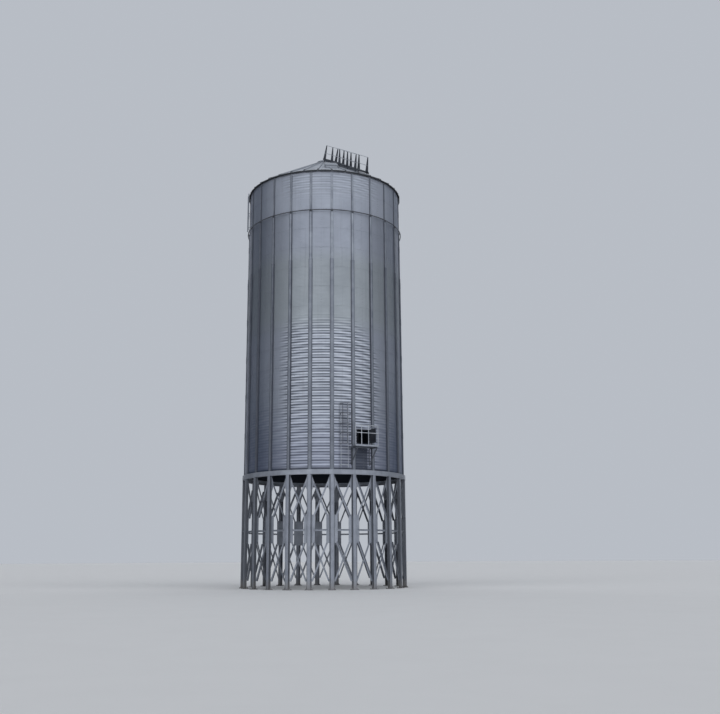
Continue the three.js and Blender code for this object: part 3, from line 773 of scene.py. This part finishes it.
def make_leg():
    lip, side, edge, web, foot, head = LEG_INNER + 0.004, 0.091, 0.140, LEG_OUTER - 0.004, 0.020, 5.9995
    path = [(-edge, -lip, foot), (-side, -lip, foot), (-side, -web, foot),
            (side, -web, foot), (side, -lip, foot), (edge, -lip, foot)]
    post = folded(path, (0, 0, head - foot), 0.008, bend=0.012, steps=3)
    parts = [post, box(-0.200, 0.200, 4.480, 4.800, 0.0, foot, 0.003)]
    for sign in (-1, 1):
        root, tip = sign * 0.095, sign * 0.180
        parts.append(face_plate([(root, foot), (tip, foot), (tip, 0.035), (root, 0.170)], 4.650, 4.658))
        parts += [anchor(sign * 0.165, radius) for radius in (4.530, 4.755)]
    return join(*parts)


first_leg = make_leg()
for number in range(BAYS):
    post = copy(first_leg, about(number * BAY))
    fit(post, f"leg_post_{number + 1:02d}", LEG_STEEL, "galvanised_structure", f"leg_{number + 1:02d}")
discard(first_leg)


# Bracing: plates behind the legs' lips, and rolled angles bolted to them, one of each cross outside
# the plates and the other inside, so that they pass each other

def brace_seat(end, outside):
    """The radius of a brace's end: on the leg itself at the foot, on a plate elsewhere."""
    if end == FOOT_END:
        return LIP_OUTER if outside else LEG_INNER
    dip = BRACE_INSET * math.tan(math.radians(BAY / 2)) / 2
    return PLATE_OUTER + dip - 0.004 if outside else PLATE_INNER - dip


def make_brace(start, end, outside=True):
    here = at(0, start[0], brace_seat(start, outside), start[1])
    there = at(BAY, -end[0], brace_seat(end, outside), end[1])
    facing = at(BAY / 2, 0, 1 if outside else -1, 0)
    along = (there - here).normalized()
    parts = [angle_bar(here, there, facing)]
    for place, way in ((here, 1), (there, -1)):
        for step in (0.035, 0.105):
            spot = place + along * way * step + facing * BRACE_THICK
            parts.append(copy(HEAD, Matrix.Translation(spot) @ about(BAY / 2 + (0 if outside else 180))))
    return join(*parts)


def make_bay():
    """A leg's mid plate and head gusset with their bolts, and the braces and tie to the next leg."""
    low, high, half = MID_PLATE
    foot, middle, top, wide, end = HEAD_PLATE
    inset = BRACE_INSET
    square = [(-half, low), (half, low), (half, high), (-half, high)]
    kite = [(-end, foot), (end, foot), (wide, middle), (end, top), (-end, top), (-wide, middle)]
    parts = [face_plate(outline, PLATE_INNER, PLATE_OUTER, 0.002) for outline in (square, kite)]
    for x in (-0.118, 0.118):
        for seat, lowest, count, step, inward in ((LIP_OUTER, low + 0.065, 15, 0.0955, False),
                                                  (LIP_OUTER, foot + 0.13, 9, 0.09, False),
                                                  (PLATE_INNER, low + 0.065, 15, 0.0955, True)):
            parts.append(row(bolt(HEAD, 0, x, seat, lowest, inward), count, (0, 0, step)))
    head = (wide - inset, middle + inset)
    plate_top, plate_foot = (half - inset, high - inset), (half - inset, low + inset)
    tie = (half - inset, TIE_HEIGHT)
    parts += [make_brace(head, plate_top), make_brace(plate_top, head, False),
              make_brace(plate_foot, FOOT_END), make_brace(FOOT_END, plate_foot, False),
              make_brace(tie, tie)]
    return join(*parts)


first_bay = make_bay()
for quarter in range(4):
    bays = [copy(first_bay, about((quarter * 6 + bay) * BAY)) for bay in range(6)]
    fit(join(*bays), f"bracing_{quarter + 1}", BRACE_STEEL, "galvanised_structure",
        f"bracing_quarter_{quarter + 1}")
discard(first_bay)


# Ring beam: a rolled channel, with joint plates bolted over its six joints

def make_ring_beam():
    inner, outer, foot, head, thick, chamfer = 4.5587, 4.7337, 6.000, 6.250, 0.010, 0.003
    web = outer - thick
    beam = spun([(inner, foot), (outer - chamfer, foot), (outer, foot + chamfer), (outer, head - chamfer),
                 (outer - chamfer, head), (inner, head), (inner, head - thick), (web, head - thick),
                 (web, foot + thick), (inner, foot + thick)], 144)
    face = outer + 0.008
    cover = box(-0.150, 0.150, outer - 0.002, face, 6.030, 6.220, 0.002)
    heads = [bolt(HEAD, 0, x, face, z) for x in (-0.11, -0.04, 0.04, 0.11) for z in (6.07, 6.18)]
    joint = join(cover, *heads)
    joints = [copy(joint, about(BAY / 2 + n * SEGMENT)) for n in range(SEGMENTS)]
    discard(joint)
    return join(beam, *joints)


fit(make_ring_beam(), "ring_beam_channel", BEAM_STEEL, "galvanised_structure", "ring_beam")


# Wall: corrugated sheets, fifteen rings high, each ring lapped over the outside of the one below

def make_sheets():
    """One segment's sheets: one ring of them, repeated up the wall and cut level at its foot."""
    points = []
    for step in range(-2, round(RING_HEIGHT / PITCH * 4) + 1):
        height = step * PITCH / 4
        wave = CORRUGATION * math.cos(2 * math.pi * height / PITCH)
        proud = LAP * (1 - max(height, 0.0) / RING_HEIGHT)
        points.append((WALL_MIDDLE + wave + proud, WALL_FOOT + height))
    ring = modify(face_out(spun(points, 12, SEGMENT, closed=False)), "SOLIDIFY", thickness=SHEET, offset=0)
    stack = row(ring, RINGS, (0, 0, RING_HEIGHT))
    open_up(stack)
    bpy.ops.mesh.bisect(plane_co=(0, 0, WALL_FOOT), plane_no=(0, 0, 1), clear_inner=True, use_fill=True)
    bpy.ops.object.mode_set(mode="OBJECT")
    return stack


def stiffener_tier(foot, head, width, depth):
    """A folded hat section, with its lips flat on the crests of the sheets."""
    thick = 0.004
    face, lip = STIFFENER_ROOT + depth - thick / 2, LIP_FACE + thick / 2
    side, edge = width / 2 - thick / 2, width / 2 - thick / 2 + 0.032
    path = [(-edge, -lip, foot), (-side, -lip, foot), (-side, -face, foot),
            (side, -face, foot), (side, -lip, foot), (edge, -lip, foot)]
    return folded(path, (0, 0, head - foot), thick, bend=0.008)


def make_stiffener():
    """A stiffener with its bolts, its splice plates at every second lap, and its foot plate."""
    parts = []
    for foot, head, width, depth in TIERS:
        parts.append(stiffener_tier(foot, head, width, depth))
        face, half = STIFFENER_ROOT + depth, width / 2 - 0.012
        count = int((head - foot - 0.08) / (PITCH * 2)) + 1
        for x in (-width / 2 - 0.016, width / 2 + 0.016):
            parts.append(row(bolt(SMALL, 0, x, LIP_FACE + 0.004, foot + 0.05), count, (0, 0, PITCH * 2)))
        for ring in range(2, RINGS, 2):
            lap = WALL_FOOT + ring * RING_HEIGHT
            if foot + 0.3 < lap < head - 0.3:
                parts.append(box(-half, half, face - 0.001, face + 0.005, lap - 0.19, lap + 0.19, 0.002))
                parts += [row(bolt(SMALL, 0, x, face + 0.005, lap - 0.15), 5, (0, 0, 0.075))
                          for x in (-half + 0.022, half - 0.022)]
    parts.append(box(-0.125, 0.125, LIP_FACE, STIFFENER_ROOT + 0.085, WALL_FOOT, WALL_FOOT + 0.012, 0.002))
    return join(*parts)


def make_top_angle():
    """The rolled angle along the head of one segment's sheets, that carries the roof."""
    outer, inner, foot, head, thick = 4.5906, 4.535, SHEETS_HEAD - 0.020, WALL_HEAD - 0.0003, 0.006
    piece = spun([(outer, foot), (outer, head), (inner, head), (inner, head - thick),
                  (outer - thick, head - thick), (outer - thick, foot)], 12, SEGMENT)
    open_up(piece)
    bpy.ops.mesh.fill_holes(sides=0)
    outward()
    return piece


def make_lap_bolts():
    """The bolts of one segment's sheets: along each ring's lap, and up the joints between sheets."""
    across = [bolt(SMALL, -SEGMENT / 2 + (n + 0.5) * 2.5, 0, WALL_OUTER + LAP + 0.001,
                   WALL_FOOT + RING_HEIGHT - 0.019) for n in range(24)]
    parts = [row(join(*across), RINGS - 1, (0, 0, RING_HEIGHT))]
    for bearing, first in ((-BAY, 0), (BAY, 0), (0, 1)):
        for shift in (-0.022, 0.022):
            lowest = bolt(SMALL, bearing, shift, WALL_OUTER + 0.002, WALL_FOOT + 2 * PITCH)
            column = put(row(lowest, 7, (0, 0, 2 * PITCH)), Matrix.Translation((0, 0, first * RING_HEIGHT)))
            parts.append(row(column, 8 - first, (0, 0, 2 * RING_HEIGHT)))
    return join(*parts)


def manhole_cutter():
    """A block a little larger than the manhole's flange, that cuts the opening through the sheets."""
    low, high, half = HOLE
    more = HOLE_FLANGE + 0.0003
    return put(box(-half - more, half + more, 4.50, 4.70, low - more, high + more, 0), about(MANHOLE_BEARING))


all_sheets = make_sheets()
stiffener = make_stiffener()
top_angle = make_top_angle()
lap_bolts = make_lap_bolts()
for number in range(1, SEGMENTS + 1):
    node = f"wall_segment_{number}"
    first_rib = (number - 2) * SEGMENT_BAYS + 1
    middle = about((first_rib + 1.5) * BAY)
    sheets = copy(all_sheets, middle)
    if node == "wall_segment_2":
        cut(sheets, manhole_cutter())
    fit(sheets, f"wall_sheets_{number}", SHEET_STEEL, "wall_sheet", node, sharp=50.0)
    ribs = [copy(stiffener, about((first_rib + n) * BAY)) for n in range(SEGMENT_BAYS)]
    ribs = join(copy(top_angle, middle), *ribs)
    fit(ribs, f"wall_stiffeners_{number}", STIFFENER_STEEL, "wall_sheet", node)
    fit(copy(lap_bolts, middle), f"wall_bolts_{number}", BOLT_STEEL, "wall_sheet", node)
discard(all_sheets, stiffener, top_angle, lap_bolts)


# Wind ring: a pipe round the top of the shell, clamped to a bracket on each stiffener

def make_wind_ring():
    radius, height, half_pipe = WIND_RING
    pipe = hoop(radius, half_pipe, 144, 12, (0, 0, height))
    seat = STIFFENER_ROOT + TIERS[1][3]
    arm = side_plate([(seat, height - 0.06), (radius, height - 0.02), (radius, height + 0.02),
                      (seat, height + 0.06)], -0.004, 0.004)
    sole = box(-0.050, 0.050, seat, seat + 0.006, height - 0.075, height + 0.075, 0.002)
    heads = [bolt(HEAD, 0, x, seat + 0.006, height + z) for x in (-0.032, 0.032) for z in (-0.055, 0.055)]
    clamp = hoop(half_pipe - 0.002, 0.004, 16, 6, (0, -radius, height), (0, math.radians(90), 0))
    return join(pipe, round_row(join(arm, sole, clamp, *heads), BAYS, BAY))


fit(make_wind_ring(), "wind_ring_pipe", RING_STEEL, "galvanised_structure", "wind_ring")


# Roof: 36 panels with a folded rib in the middle of each, and a turned-down edge at the eave

def make_roof_panel():
    """One panel from the eave up to the collar, with its rib, the rib's end and its bolts."""
    half = math.radians(180 / ROOF_RIBS)
    side, flat, inner = EAVE * math.sin(half), EAVE * math.cos(half), 0.515
    level, rise, end = roof_top(EAVE) - 0.001, 0.058, 4.6825
    right = [(0.021, rise), (0.030, 0.0), (0.197, 0.0), (0.209, 0.010), (0.233, 0.010), (0.245, 0.0),
             (side, 0.0)]
    outline = [(-x, z) for x, z in reversed(right)] + right
    panel = draw([(x, -flat, level + z) for x, z in outline])
    pick_all("EDGE")
    run = flat - inner * math.cos(half)
    push((0, run, run * SLOPE / math.cos(half)))
    choose(panel, "VERT", lambda v: v.y > -1.0 and abs(v.x) > 0.035)
    bpy.ops.transform.resize(value=(inner / EAVE, 1, 1), center_override=(0, 0, 0))
    choose(panel, "EDGE", lambda c: c.y < -flat + 1e-4 and abs(c.z - level) < 0.02)
    push((0, 0, -0.074))
    outward()
    modify(face_out(panel), "SOLIDIFY", thickness=0.0016, offset=-1)
    rib_end = face_plate([(-0.030, level - 0.001), (0.030, level - 0.001), (0.021, level + 0.057),
                          (-0.021, level + 0.057)], end - 0.0035, end, 0)
    tilt = Matrix.Rotation(math.radians(-60), 4, "X")
    bolts = [copy(SMALL, Matrix.Translation((x, -r, roof_top(r) - 0.001)) @ tilt)
             for r in [1.0 + n * 0.44 for n in range(9)] for x in (-0.045, 0.045)]
    return join(panel, rib_end, *bolts)


def make_roof():
    """The panels, and the rings inside that carry them."""
    roof = round_row(make_roof_panel(), ROOF_RIBS, 360 / ROOF_RIBS)
    rings = []
    for radius in (1.4, 2.5, 3.6):
        inner, outer, top = radius - 0.03, radius + 0.03, roof_top(radius) - 0.012
        dip = 0.03 * SLOPE
        section = [(inner, top - 0.06), (outer, top - 0.06 - dip), (outer, top - dip), (inner, top + 0.01)]
        rings.append(spun(section, 72))
    return join(roof, join(*rings))


fit(make_roof(), "roof_panels", ROOF_STEEL, "roof_sheet", "roof_cone", sharp=25.0)


# Collar: the filling throat's curb and its lid

def make_collar():
    top = roof_top(0.45) + 0.10
    outer, inner, rim = COLLAR, COLLAR - 0.008, COLLAR + 0.050
    base = roof_top(outer)
    curb = spun([(inner, base - 0.07), (outer, base - 0.07), (outer, base + 0.006),
                 (0.517, roof_top(0.517) + 0.004), (0.520, roof_top(0.520) + 0.010),
                 (outer + 0.004, base + 0.014), (outer, base + 0.022), (outer, top - 0.016),
                 (inner, top - 0.016)], 48)
    lid = cylinder(rim, 0.016, 48, (0, 0, top - 0.008))
    bpy.ops.object.mode_set(mode="EDIT")
    choose(lid, "FACE", lambda c: c.z > top - 0.002)
    bpy.ops.mesh.inset(thickness=0.05)
    bpy.ops.transform.translate(value=(0, 0, -0.004))
    choose(lid, "FACE", lambda c: c.z < top - 0.014 and math.hypot(c.x, c.y) < 0.01)
    bpy.ops.mesh.inset(thickness=0.012)
    push((0, 0, 0.004))
    bpy.ops.object.mode_set(mode="OBJECT")
    soften(lid, 0.003, 2)
    skirt = spun([(rim, top - 0.002), (rim, top - 0.045), (rim - 0.004, top - 0.045),
                  (rim - 0.004, top - 0.010)], 48)
    dog = box(-0.012, 0.012, 0.450, 0.488, top - 0.075, top - 0.025, 0.002)
    return join(curb, lid, skirt, round_row(dog, 8, 45))


fit(make_collar(), "roof_collar_lid", ROOF_STEEL, "roof_sheet", "roof_collar")


# Roof hatch: a curb with a turned-down lid, hinges at its upper edge and a pull handle

def make_hatch():
    inner, outer, half, height, rim = 3.0, 3.7, 0.34, 0.20, 0.025
    curb = [roof_plate(inner, outer, 0.001, height, x - 0.004, x + 0.004)
            for x in (-half + 0.004, half - 0.004)]
    curb += [roof_plate(r, r + 0.008, 0.001, height, -half, half) for r in (inner, outer - 0.008)]
    lid = roof_plate(inner - rim, outer + rim, height + 0.004, height + 0.036, -half - rim, half + rim, 0)
    open_up(lid)
    choose(lid, "FACE", lambda c: abs(c.x) < 0.01 and c.z > roof_top(-c.y) + height + 0.030)
    bpy.ops.mesh.inset(thickness=0.06)
    bpy.ops.transform.translate(value=(0, 0, 0.012))
    bpy.ops.object.mode_set(mode="OBJECT")
    parts = [*curb, soften(lid, 0.004, 2)]
    low, high = height - 0.035, height + 0.008
    parts += [roof_plate(inner - rim, outer + rim, low, high, x - 0.0015, x + 0.0015, 0)
              for x in (-half - 0.022, half + 0.022)]
    parts += [roof_plate(r, r + 0.003, low, high, -half - 0.022, half + 0.022, 0)
              for r in (inner - rim, outer + 0.022)]
    foot, grip = roof_top(3.60) + height + 0.030, roof_top(3.60) + height + 0.085
    parts += [tube((x, -3.60, foot), (x, -3.60, grip), 0.007, 8) for x in (-0.07, 0.07)]
    parts.append(tube((-0.075, -3.60, grip), (0.075, -3.60, grip), 0.007, 8))
    hinge = roof_top(2.972) + height + 0.012
    parts += [tube((x - 0.04, -2.972, hinge), (x + 0.04, -2.972, hinge), 0.012, 10) for x in (-0.22, 0.22)]
    return put(join(*parts), about(1.0))


fit(make_hatch(), "roof_hatch_box", HATCH_STEEL, "roof_sheet", "roof_hatch")


# Roof stair: folded stringers, grating treads, plate posts and tube rails

def stair_base(radius):
    return roof_top(radius) + STAIR_RISE


def rail_seat(radius):
    return stair_base(radius) + STRINGER + 0.00035


def make_tread(radius):
    """A grating tread: five flat bars across, an end plate each side and thin bars between them."""
    level = stair_base(radius) + 0.060
    parts = []
    for n in range(5):
        bar = radius - 0.085 + n * 0.0425
        parts.append(box(-0.385, 0.385, bar - 0.0025, bar + 0.0025, level, level + 0.030, 0))
    for spots, half, low, high in (((-0.381, 0.381), 0.090, -0.005, 0.034),
                                   ((-0.24, -0.12, 0.0, 0.12, 0.24), 0.086, 0.022, 0.028)):
        parts += [box(x - 0.003, x + 0.003, radius - half, radius + half, level + low, level + high, 0)
                  for x in spots]
    return parts


def make_stair():
    parts = []
    for sign in (-1, 1):
        x = sign * STAIR_HALF
        web = x + sign * 0.021
        for low, high, middle, half in ((0.0, STRINGER, web, 0.004), (0.0, 0.006, x, 0.025),
                                        (STRINGER - 0.006, STRINGER, x, 0.025)):
            parts.append(roof_plate(STAIR_INNER, STAIR_OUTER, STAIR_RISE + low, STAIR_RISE + high,
                                    middle - half, middle + half))
        for r in POSTS:
            foot = [(e, roof_top(math.hypot(e, STAIR_HALF)) - 0.004) for e in (r - 0.030, r + 0.030)]
            head = [(e, stair_base(e) + 0.06) for e in (r + 0.030, r - 0.030)]
            parts.append(side_plate([*foot, *head], x - 0.022, x + 0.022))
    radius = STAIR_INNER + 0.125
    while radius < STAIR_OUTER - 0.09:
        parts += make_tread(radius)
        radius += 0.250
    return put(join(*parts), about(STAIR_BEARING))


def make_posts(sign):
    """Tapered plates, leaning out, bolted to the stringer."""
    x = sign * STAIR_HALF
    parts = []
    for r, lean in zip(POSTS, POST_LEAN):
        profile = [(end, rail_seat(end)) for end in (r - 0.150, r + 0.150)]
        profile += [(end, rail_seat(end) + POST_HEIGHT) for end in (r + lean + 0.045, r + lean - 0.045)]
        parts.append(side_plate(profile, x - 0.006, x + 0.006, 0.002))
        for end in (r - 0.11, r + 0.11):
            spot = (x + sign * 0.006, -end, rail_seat(end) + 0.035)
            parts.append(copy(HEAD, Matrix.Translation(spot) @ about(90 * sign)))
    return put(join(*parts), about(STAIR_BEARING))


def make_rails(sign):
    x = sign * STAIR_HALF
    parts = []
    for level in (0.394, 0.936):
        first = POSTS[0] + POST_LEAN[0] * level / POST_HEIGHT - 0.045
        last = POSTS[-1] + POST_LEAN[-1] * level / POST_HEIGHT + 0.045
        ends = [(x, -r, rail_seat(r) + level) for r in (first, last)]
        parts.append(tube(*ends, 0.0135))
    return put(join(*parts), about(STAIR_BEARING))


fit(make_stair(), "roof_stair_flight", STAIR_STEEL, "access_steel", "roof_stair")
for side, sign in (("left", -1), ("right", 1)):
    fit(make_posts(sign), f"stair_posts_{side}", STAIR_STEEL, "access_steel", f"roof_handrail_{side}")
    fit(make_rails(sign), f"stair_rails_{side}", RAIL_STEEL, "access_steel", f"roof_handrail_{side}")


# Manhole: a welded frame with a flange, and its door standing open on two hinges

def make_manhole():
    low, high, half = HOLE
    edge, inner, outer, thick = half + HOLE_FLANGE, 4.540, FLANGE_FACE, 0.010
    sides = [(x, x + thick, low - thick, high + thick) for x in (-half - thick, half)]
    sides += [(-half - thick, half + thick, z, z + thick) for z in (low - thick, high)]
    parts = [box(x0, x1, inner, outer, z0, z1) for x0, x1, z0, z1 in sides]
    foot, head = low - HOLE_FLANGE, high + HOLE_FLANGE
    for r0, r1 in ((outer - 0.010, outer), (4.594, 4.600)):
        flange = face_plate([(-edge, foot), (edge, foot), (edge, head), (-edge, head)], r0, r1, 0)
        parts.append(soften(cut(flange, box(-half, half, r0 - 0.05, r1 + 0.05, low, high, 0)), 0.0015))
    spots = [(-0.3 + n * 0.12, z) for n in range(6) for z in (low - 0.018, high + 0.018)]
    spots += [(x, low + 0.07 + n * 0.14) for n in range(5) for x in (-half - 0.018, half + 0.018)]
    parts += [bolt(HEAD, 0, x, outer, z) for x, z in spots]
    return put(join(*parts), about(MANHOLE_BEARING))


def make_door():
    """A pan of sheet with its edges turned in, two bars across it, hinge barrels and a handle."""
    right, hinge, end = HOLE[2] + HOLE_FLANGE, FLANGE_FACE + 0.0003, FLANGE_FACE + 0.7003
    start, low, high = hinge + 0.006, HOLE[0] - 0.030, HOLE[1] + 0.030
    parts = [box(right - 0.006, right, start, end, low, high, 0.001)]
    turned_in = (right - 0.030, right - 0.004)
    parts += [box(*turned_in, start, end, z, z + 0.004, 0.001) for z in (low, high - 0.004)]
    parts += [box(*turned_in, r, r + 0.004, low, high, 0.001) for r in (start, end - 0.004)]
    parts += [box(right - 0.022, right - 0.005, hinge + 0.02, end - 0.02, z, z + 0.040, 0.002)
              for z in (low + 0.16, high - 0.20)]
    parts += [tube((right - 0.012, -start, z), (right - 0.012, -start, z + 0.10), 0.011)
              for z in (low + 0.10, high - 0.20)]
    parts += [tube((right - 0.022, 0.09 - end, z), (right - 0.029, 0.09 - end, z), 0.006, 8)
              for z in (low + 0.30, low + 0.46)]
    return put(join(*parts), about(MANHOLE_BEARING))


fit(make_manhole(), "manhole_flange", FRAME_STEEL, "galvanised_structure", "manhole_frame")
fit(make_door(), "manhole_door_leaf", DOOR_PAINT, "door_steel", "manhole_door")


# Platform: an angle frame on two brackets, a grating floor, kick plates and a tube railing

def make_platform():
    left, right, inner, outer, floor = PLATFORM
    leg, under = PLATFORM_FRAME, floor - PLATFORM_FRAME
    parts = [box(left, right, r, r + 0.006, under, floor) for r in (inner, outer - 0.006)]
    parts += [box(left, right, r, r + leg, under, under + 0.006) for r in (inner, outer - leg)]
    parts += [box(x, x + 0.006, inner, outer, under, floor) for x in (left, right - 0.006)]
    parts += [box(x, x + leg, inner, outer, under, under + 0.006) for x in (left, right - leg)]
    bearer = box(left + 0.030, left + 0.034, inner + 0.006, outer - 0.006, floor - 0.032, floor - 0.002, 0)
    parts.append(row(bearer, 39, (0.0345, 0, 0)))
    cross = box(left + 0.006, right - 0.006, inner + 0.05, inner + 0.056, floor - 0.010, floor - 0.003, 0)
    parts.append(row(cross, 9, (0, -0.095, 0)))
    for x0, r0 in ((left, outer - 0.005), (right - 0.005, inner)):
        parts.append(box(x0, right, r0, outer, floor - 0.002, floor + 0.040))
    return put(join(*parts), about(PLATFORM_BEARING))


def make_brackets():
    """The platform's two brackets: a back plate, a folded arm and a slanting strut each."""
    under, end, wall, foot = PLATFORM[4] - PLATFORM_FRAME, PLATFORM[3] - 0.05, 4.595, 6.500
    parts = []
    for sign in (-1, 1):
        x = sign * 0.545
        rib = x - sign * 0.004
        strut = (x, -4.600, foot + 0.045), (x, -5.430, under - 0.025)
        parts += [box(x - 0.025, x + 0.025, wall, wall + 0.008, foot, under),
                  box(rib - 0.004, rib + 0.004, wall, wall + 0.045, foot, under),
                  box(x - 0.025, x + 0.025, wall, end, under - 0.008, under),
                  box(x - 0.004, x + 0.004, wall, end, under - 0.050, under),
                  angle_bar(*strut, (sign, 0, 0), 0.050, 0.006)]
        parts += [bolt(HEAD, 0, x + 0.012 * sign, wall + 0.008, foot + 0.06 + n * 0.2) for n in range(5)]
    return put(join(*parts), about(PLATFORM_BEARING))


def make_railing():
    """Posts on small feet along the front and right edges, with a knee rail and a top rail."""
    left, right, inner, outer, floor = PLATFORM
    r, thin = 0.020, 0.019
    line, side, back = outer - r, right - r, inner + r
    low, top, knee = floor + 0.0005, 8.570 - r, 8.130 + r
    parts = []
    for x, radius in ((left + r, line), (-0.400, line), (0.020, line), (side, line), (side, back)):
        parts.append(tube((x, -radius, low), (x, -radius, top), thin, 14))
        parts.append(box(x - thin, x + thin, radius - thin, radius + thin, low, low + 0.008, 0.002))
    for z in (knee, top):
        parts.append(tube((left + 0.001, -line, z), (side + thin, -line, z), thin, 14))
        parts.append(tube((side, -inner - 0.001, z), (side, -line - thin, z), thin, 14))
    return put(join(*parts), about(PLATFORM_BEARING))


fit(make_platform(), "platform_deck", ACCESS_STEEL, "access_steel", "access_platform")
# The brackets take the cage's darker copy of the galvanising: painted shade
fit(make_brackets(), "platform_brackets", CAGE_STEEL, "access_steel", "access_platform")
fit(make_railing(), "platform_rails", RAIL_STEEL, "access_steel", "platform_railing")


# Ladders: flat rails, round rungs and brackets bolted to the wall; hoops and straps round the lower one

def make_ladder(bearing, foot, head, radius, rail, thick, rung, every):
    half, pitch, wall, pad = LADDER_HALF, 0.300, 4.594, 4.600
    parts = [box(x - thick / 2, x + thick / 2, radius - rail / 2, radius + rail / 2, foot, head, 0.002)
             for x in (-half, half)]
    for n in range(int((head - foot) / pitch)):
        level = foot + (n + 0.5) * pitch
        parts.append(tube((-half, -radius, level), (half, -radius, level), rung / 2))
        if n % every:
            continue
        for x in (-half, half):
            parts.append(box(x - 0.004, x + 0.004, pad, radius, level - 0.015, level + 0.015))
            parts.append(box(x - 0.030, x + 0.030, wall, pad, level - 0.040, level + 0.040, 0.002))
            parts += [bolt(HEAD, 0, x + 0.017, pad, level + z) for z in (-0.025, 0.025)]
    return put(join(*parts), about(bearing))


def make_cage():
    foot, head, radius, hoops, strap, steps = 7.560, 9.760, 0.330, 5, 0.040, 28
    bend = radius + 0.005
    half_arc = math.pi - math.asin(LADDER_HALF / radius)
    centre = LADDER_RADIUS + 0.025 - (radius + 0.010) * math.cos(half_arc)
    arc = [half_arc * (2 * n / steps - 1) for n in range(steps + 1)]
    path = [(bend * math.sin(a), -centre - bend * math.cos(a), foot) for a in arc]
    rise = (head - foot - strap) / (hoops - 1)
    parts = [row(folded(path, (0, 0, strap), 0.006, bend=0), hoops, (0, 0, rise))]
    for bearing in (-90, -45, 0, 45, 90):
        place = Matrix.Translation((0, -centre, 0)) @ about(bearing)
        upright = box(-strap / 2, strap / 2, radius - 0.004, radius + 0.002, foot, head, 0.0015)
        parts.append(put(upright, place))
        parts += [copy(HEAD, place @ Matrix.Translation((0, -radius - 0.008, foot + strap / 2 + n * rise)))
                  for n in range(hoops)]
    return put(join(*parts), about(LADDER_BEARING))


fit(make_ladder(LADDER_BEARING, 6.350, 9.800, LADDER_RADIUS, 0.050, 0.014, 0.024, 4),
    "wall_ladder", RAIL_STEEL, "access_steel", "access_ladder")
fit(make_cage(), "wall_ladder_cage", CAGE_STEEL, "access_steel", "ladder_cage")
fit(make_ladder(EAVE_LADDER_BEARING, 21.150, 23.500, 4.740, 0.060, 0.016, 0.026, 3),
    "eave_side_ladder", ACCESS_STEEL, "access_steel", "eave_ladder")
discard(HEAD, SMALL)


# Studio: floor, lights and camera

def make_floor():
    alone()
    bpy.ops.mesh.primitive_circle_add(vertices=96, radius=400, fill_type="NGON", location=(0, 0, -0.002))
    floor = bpy.context.object
    floor.name = "studio_floor"
    finish = Finish("studio_floor", (0.80, 0.80, 0.80))
    finish.coat(finish.mottle(0.6, 3.0), (0.84, 0.84, 0.84))
    finish.shader.inputs["Roughness"].default_value = 0.9
    floor.data.materials.append(finish.material)


def make_lamp(name, bearing, height, strength, colour, angle=90):
    """A broad soft light from far off, at this bearing and height in degrees."""
    data = bpy.data.lights.new(name, "SUN")
    data.angle = math.radians(angle)
    data.energy = strength
    data.color = colour
    lamp = bpy.data.objects.new(name, data)
    bpy.context.scene.collection.objects.link(lamp)
    rise = math.radians(height)
    lamp.rotation_euler = at(bearing, 0, math.cos(rise), math.sin(rise)).to_track_quat("Z", "Y").to_euler()


def make_world():
    """A pale backdrop for the camera, and a dim blue-grey light all round for the rest."""
    world = bpy.data.worlds.new("studio")
    bpy.context.scene.world = world
    world.use_nodes = True
    tree = world.node_tree
    lit = tree.nodes["Background"]
    lit.inputs["Color"].default_value = (0.052, 0.061, 0.082, 1)
    seen = wire(tree, "Background", {"Color": (0.48, 0.51, 0.56, 1)})
    camera_ray = wire(tree, "LightPath", {}).outputs["Is Camera Ray"]
    mix = wire(tree, "MixShader", {"Fac": camera_ray, 1: lit.outputs[0], 2: seen.outputs[0]})
    tree.links.new(mix.outputs[0], tree.nodes["World Output"].inputs["Surface"])


def make_camera():
    """The photograph's viewpoint: eye height, 52.6 m from the silo's centre line, looking up."""
    distance, bearing, eye, heading, tilt, roll = 52.60, -5.2369, 1.6, -6.9424, 12.679, -0.289
    data = bpy.data.cameras.new("camera")
    data.lens = 44.77
    data.sensor_width = 36.0
    data.shift_x = 0.01344
    data.clip_end = 2000
    camera = bpy.data.objects.new("camera", data)
    bpy.context.scene.collection.objects.link(camera)
    aim = (about(heading) @ Matrix.Rotation(math.radians(90 + tilt), 4, "X")
           @ Matrix.Rotation(math.radians(roll), 4, "Z"))
    camera.matrix_world = Matrix.Translation(at(bearing, 0, distance, eye)) @ aim
    bpy.context.scene.camera = camera


make_floor()
make_world()
make_lamp("key_light", 0, 36, 2.0, (0.95, 0.975, 1.0), 112)
make_lamp("fill_light", 75, 25, 0.10, (0.92, 0.96, 1.0))
make_lamp("back_light", 170, 35, 0.90, (0.95, 0.97, 1.0))
make_camera()
bpy.context.scene.view_settings.view_transform = "Standard"
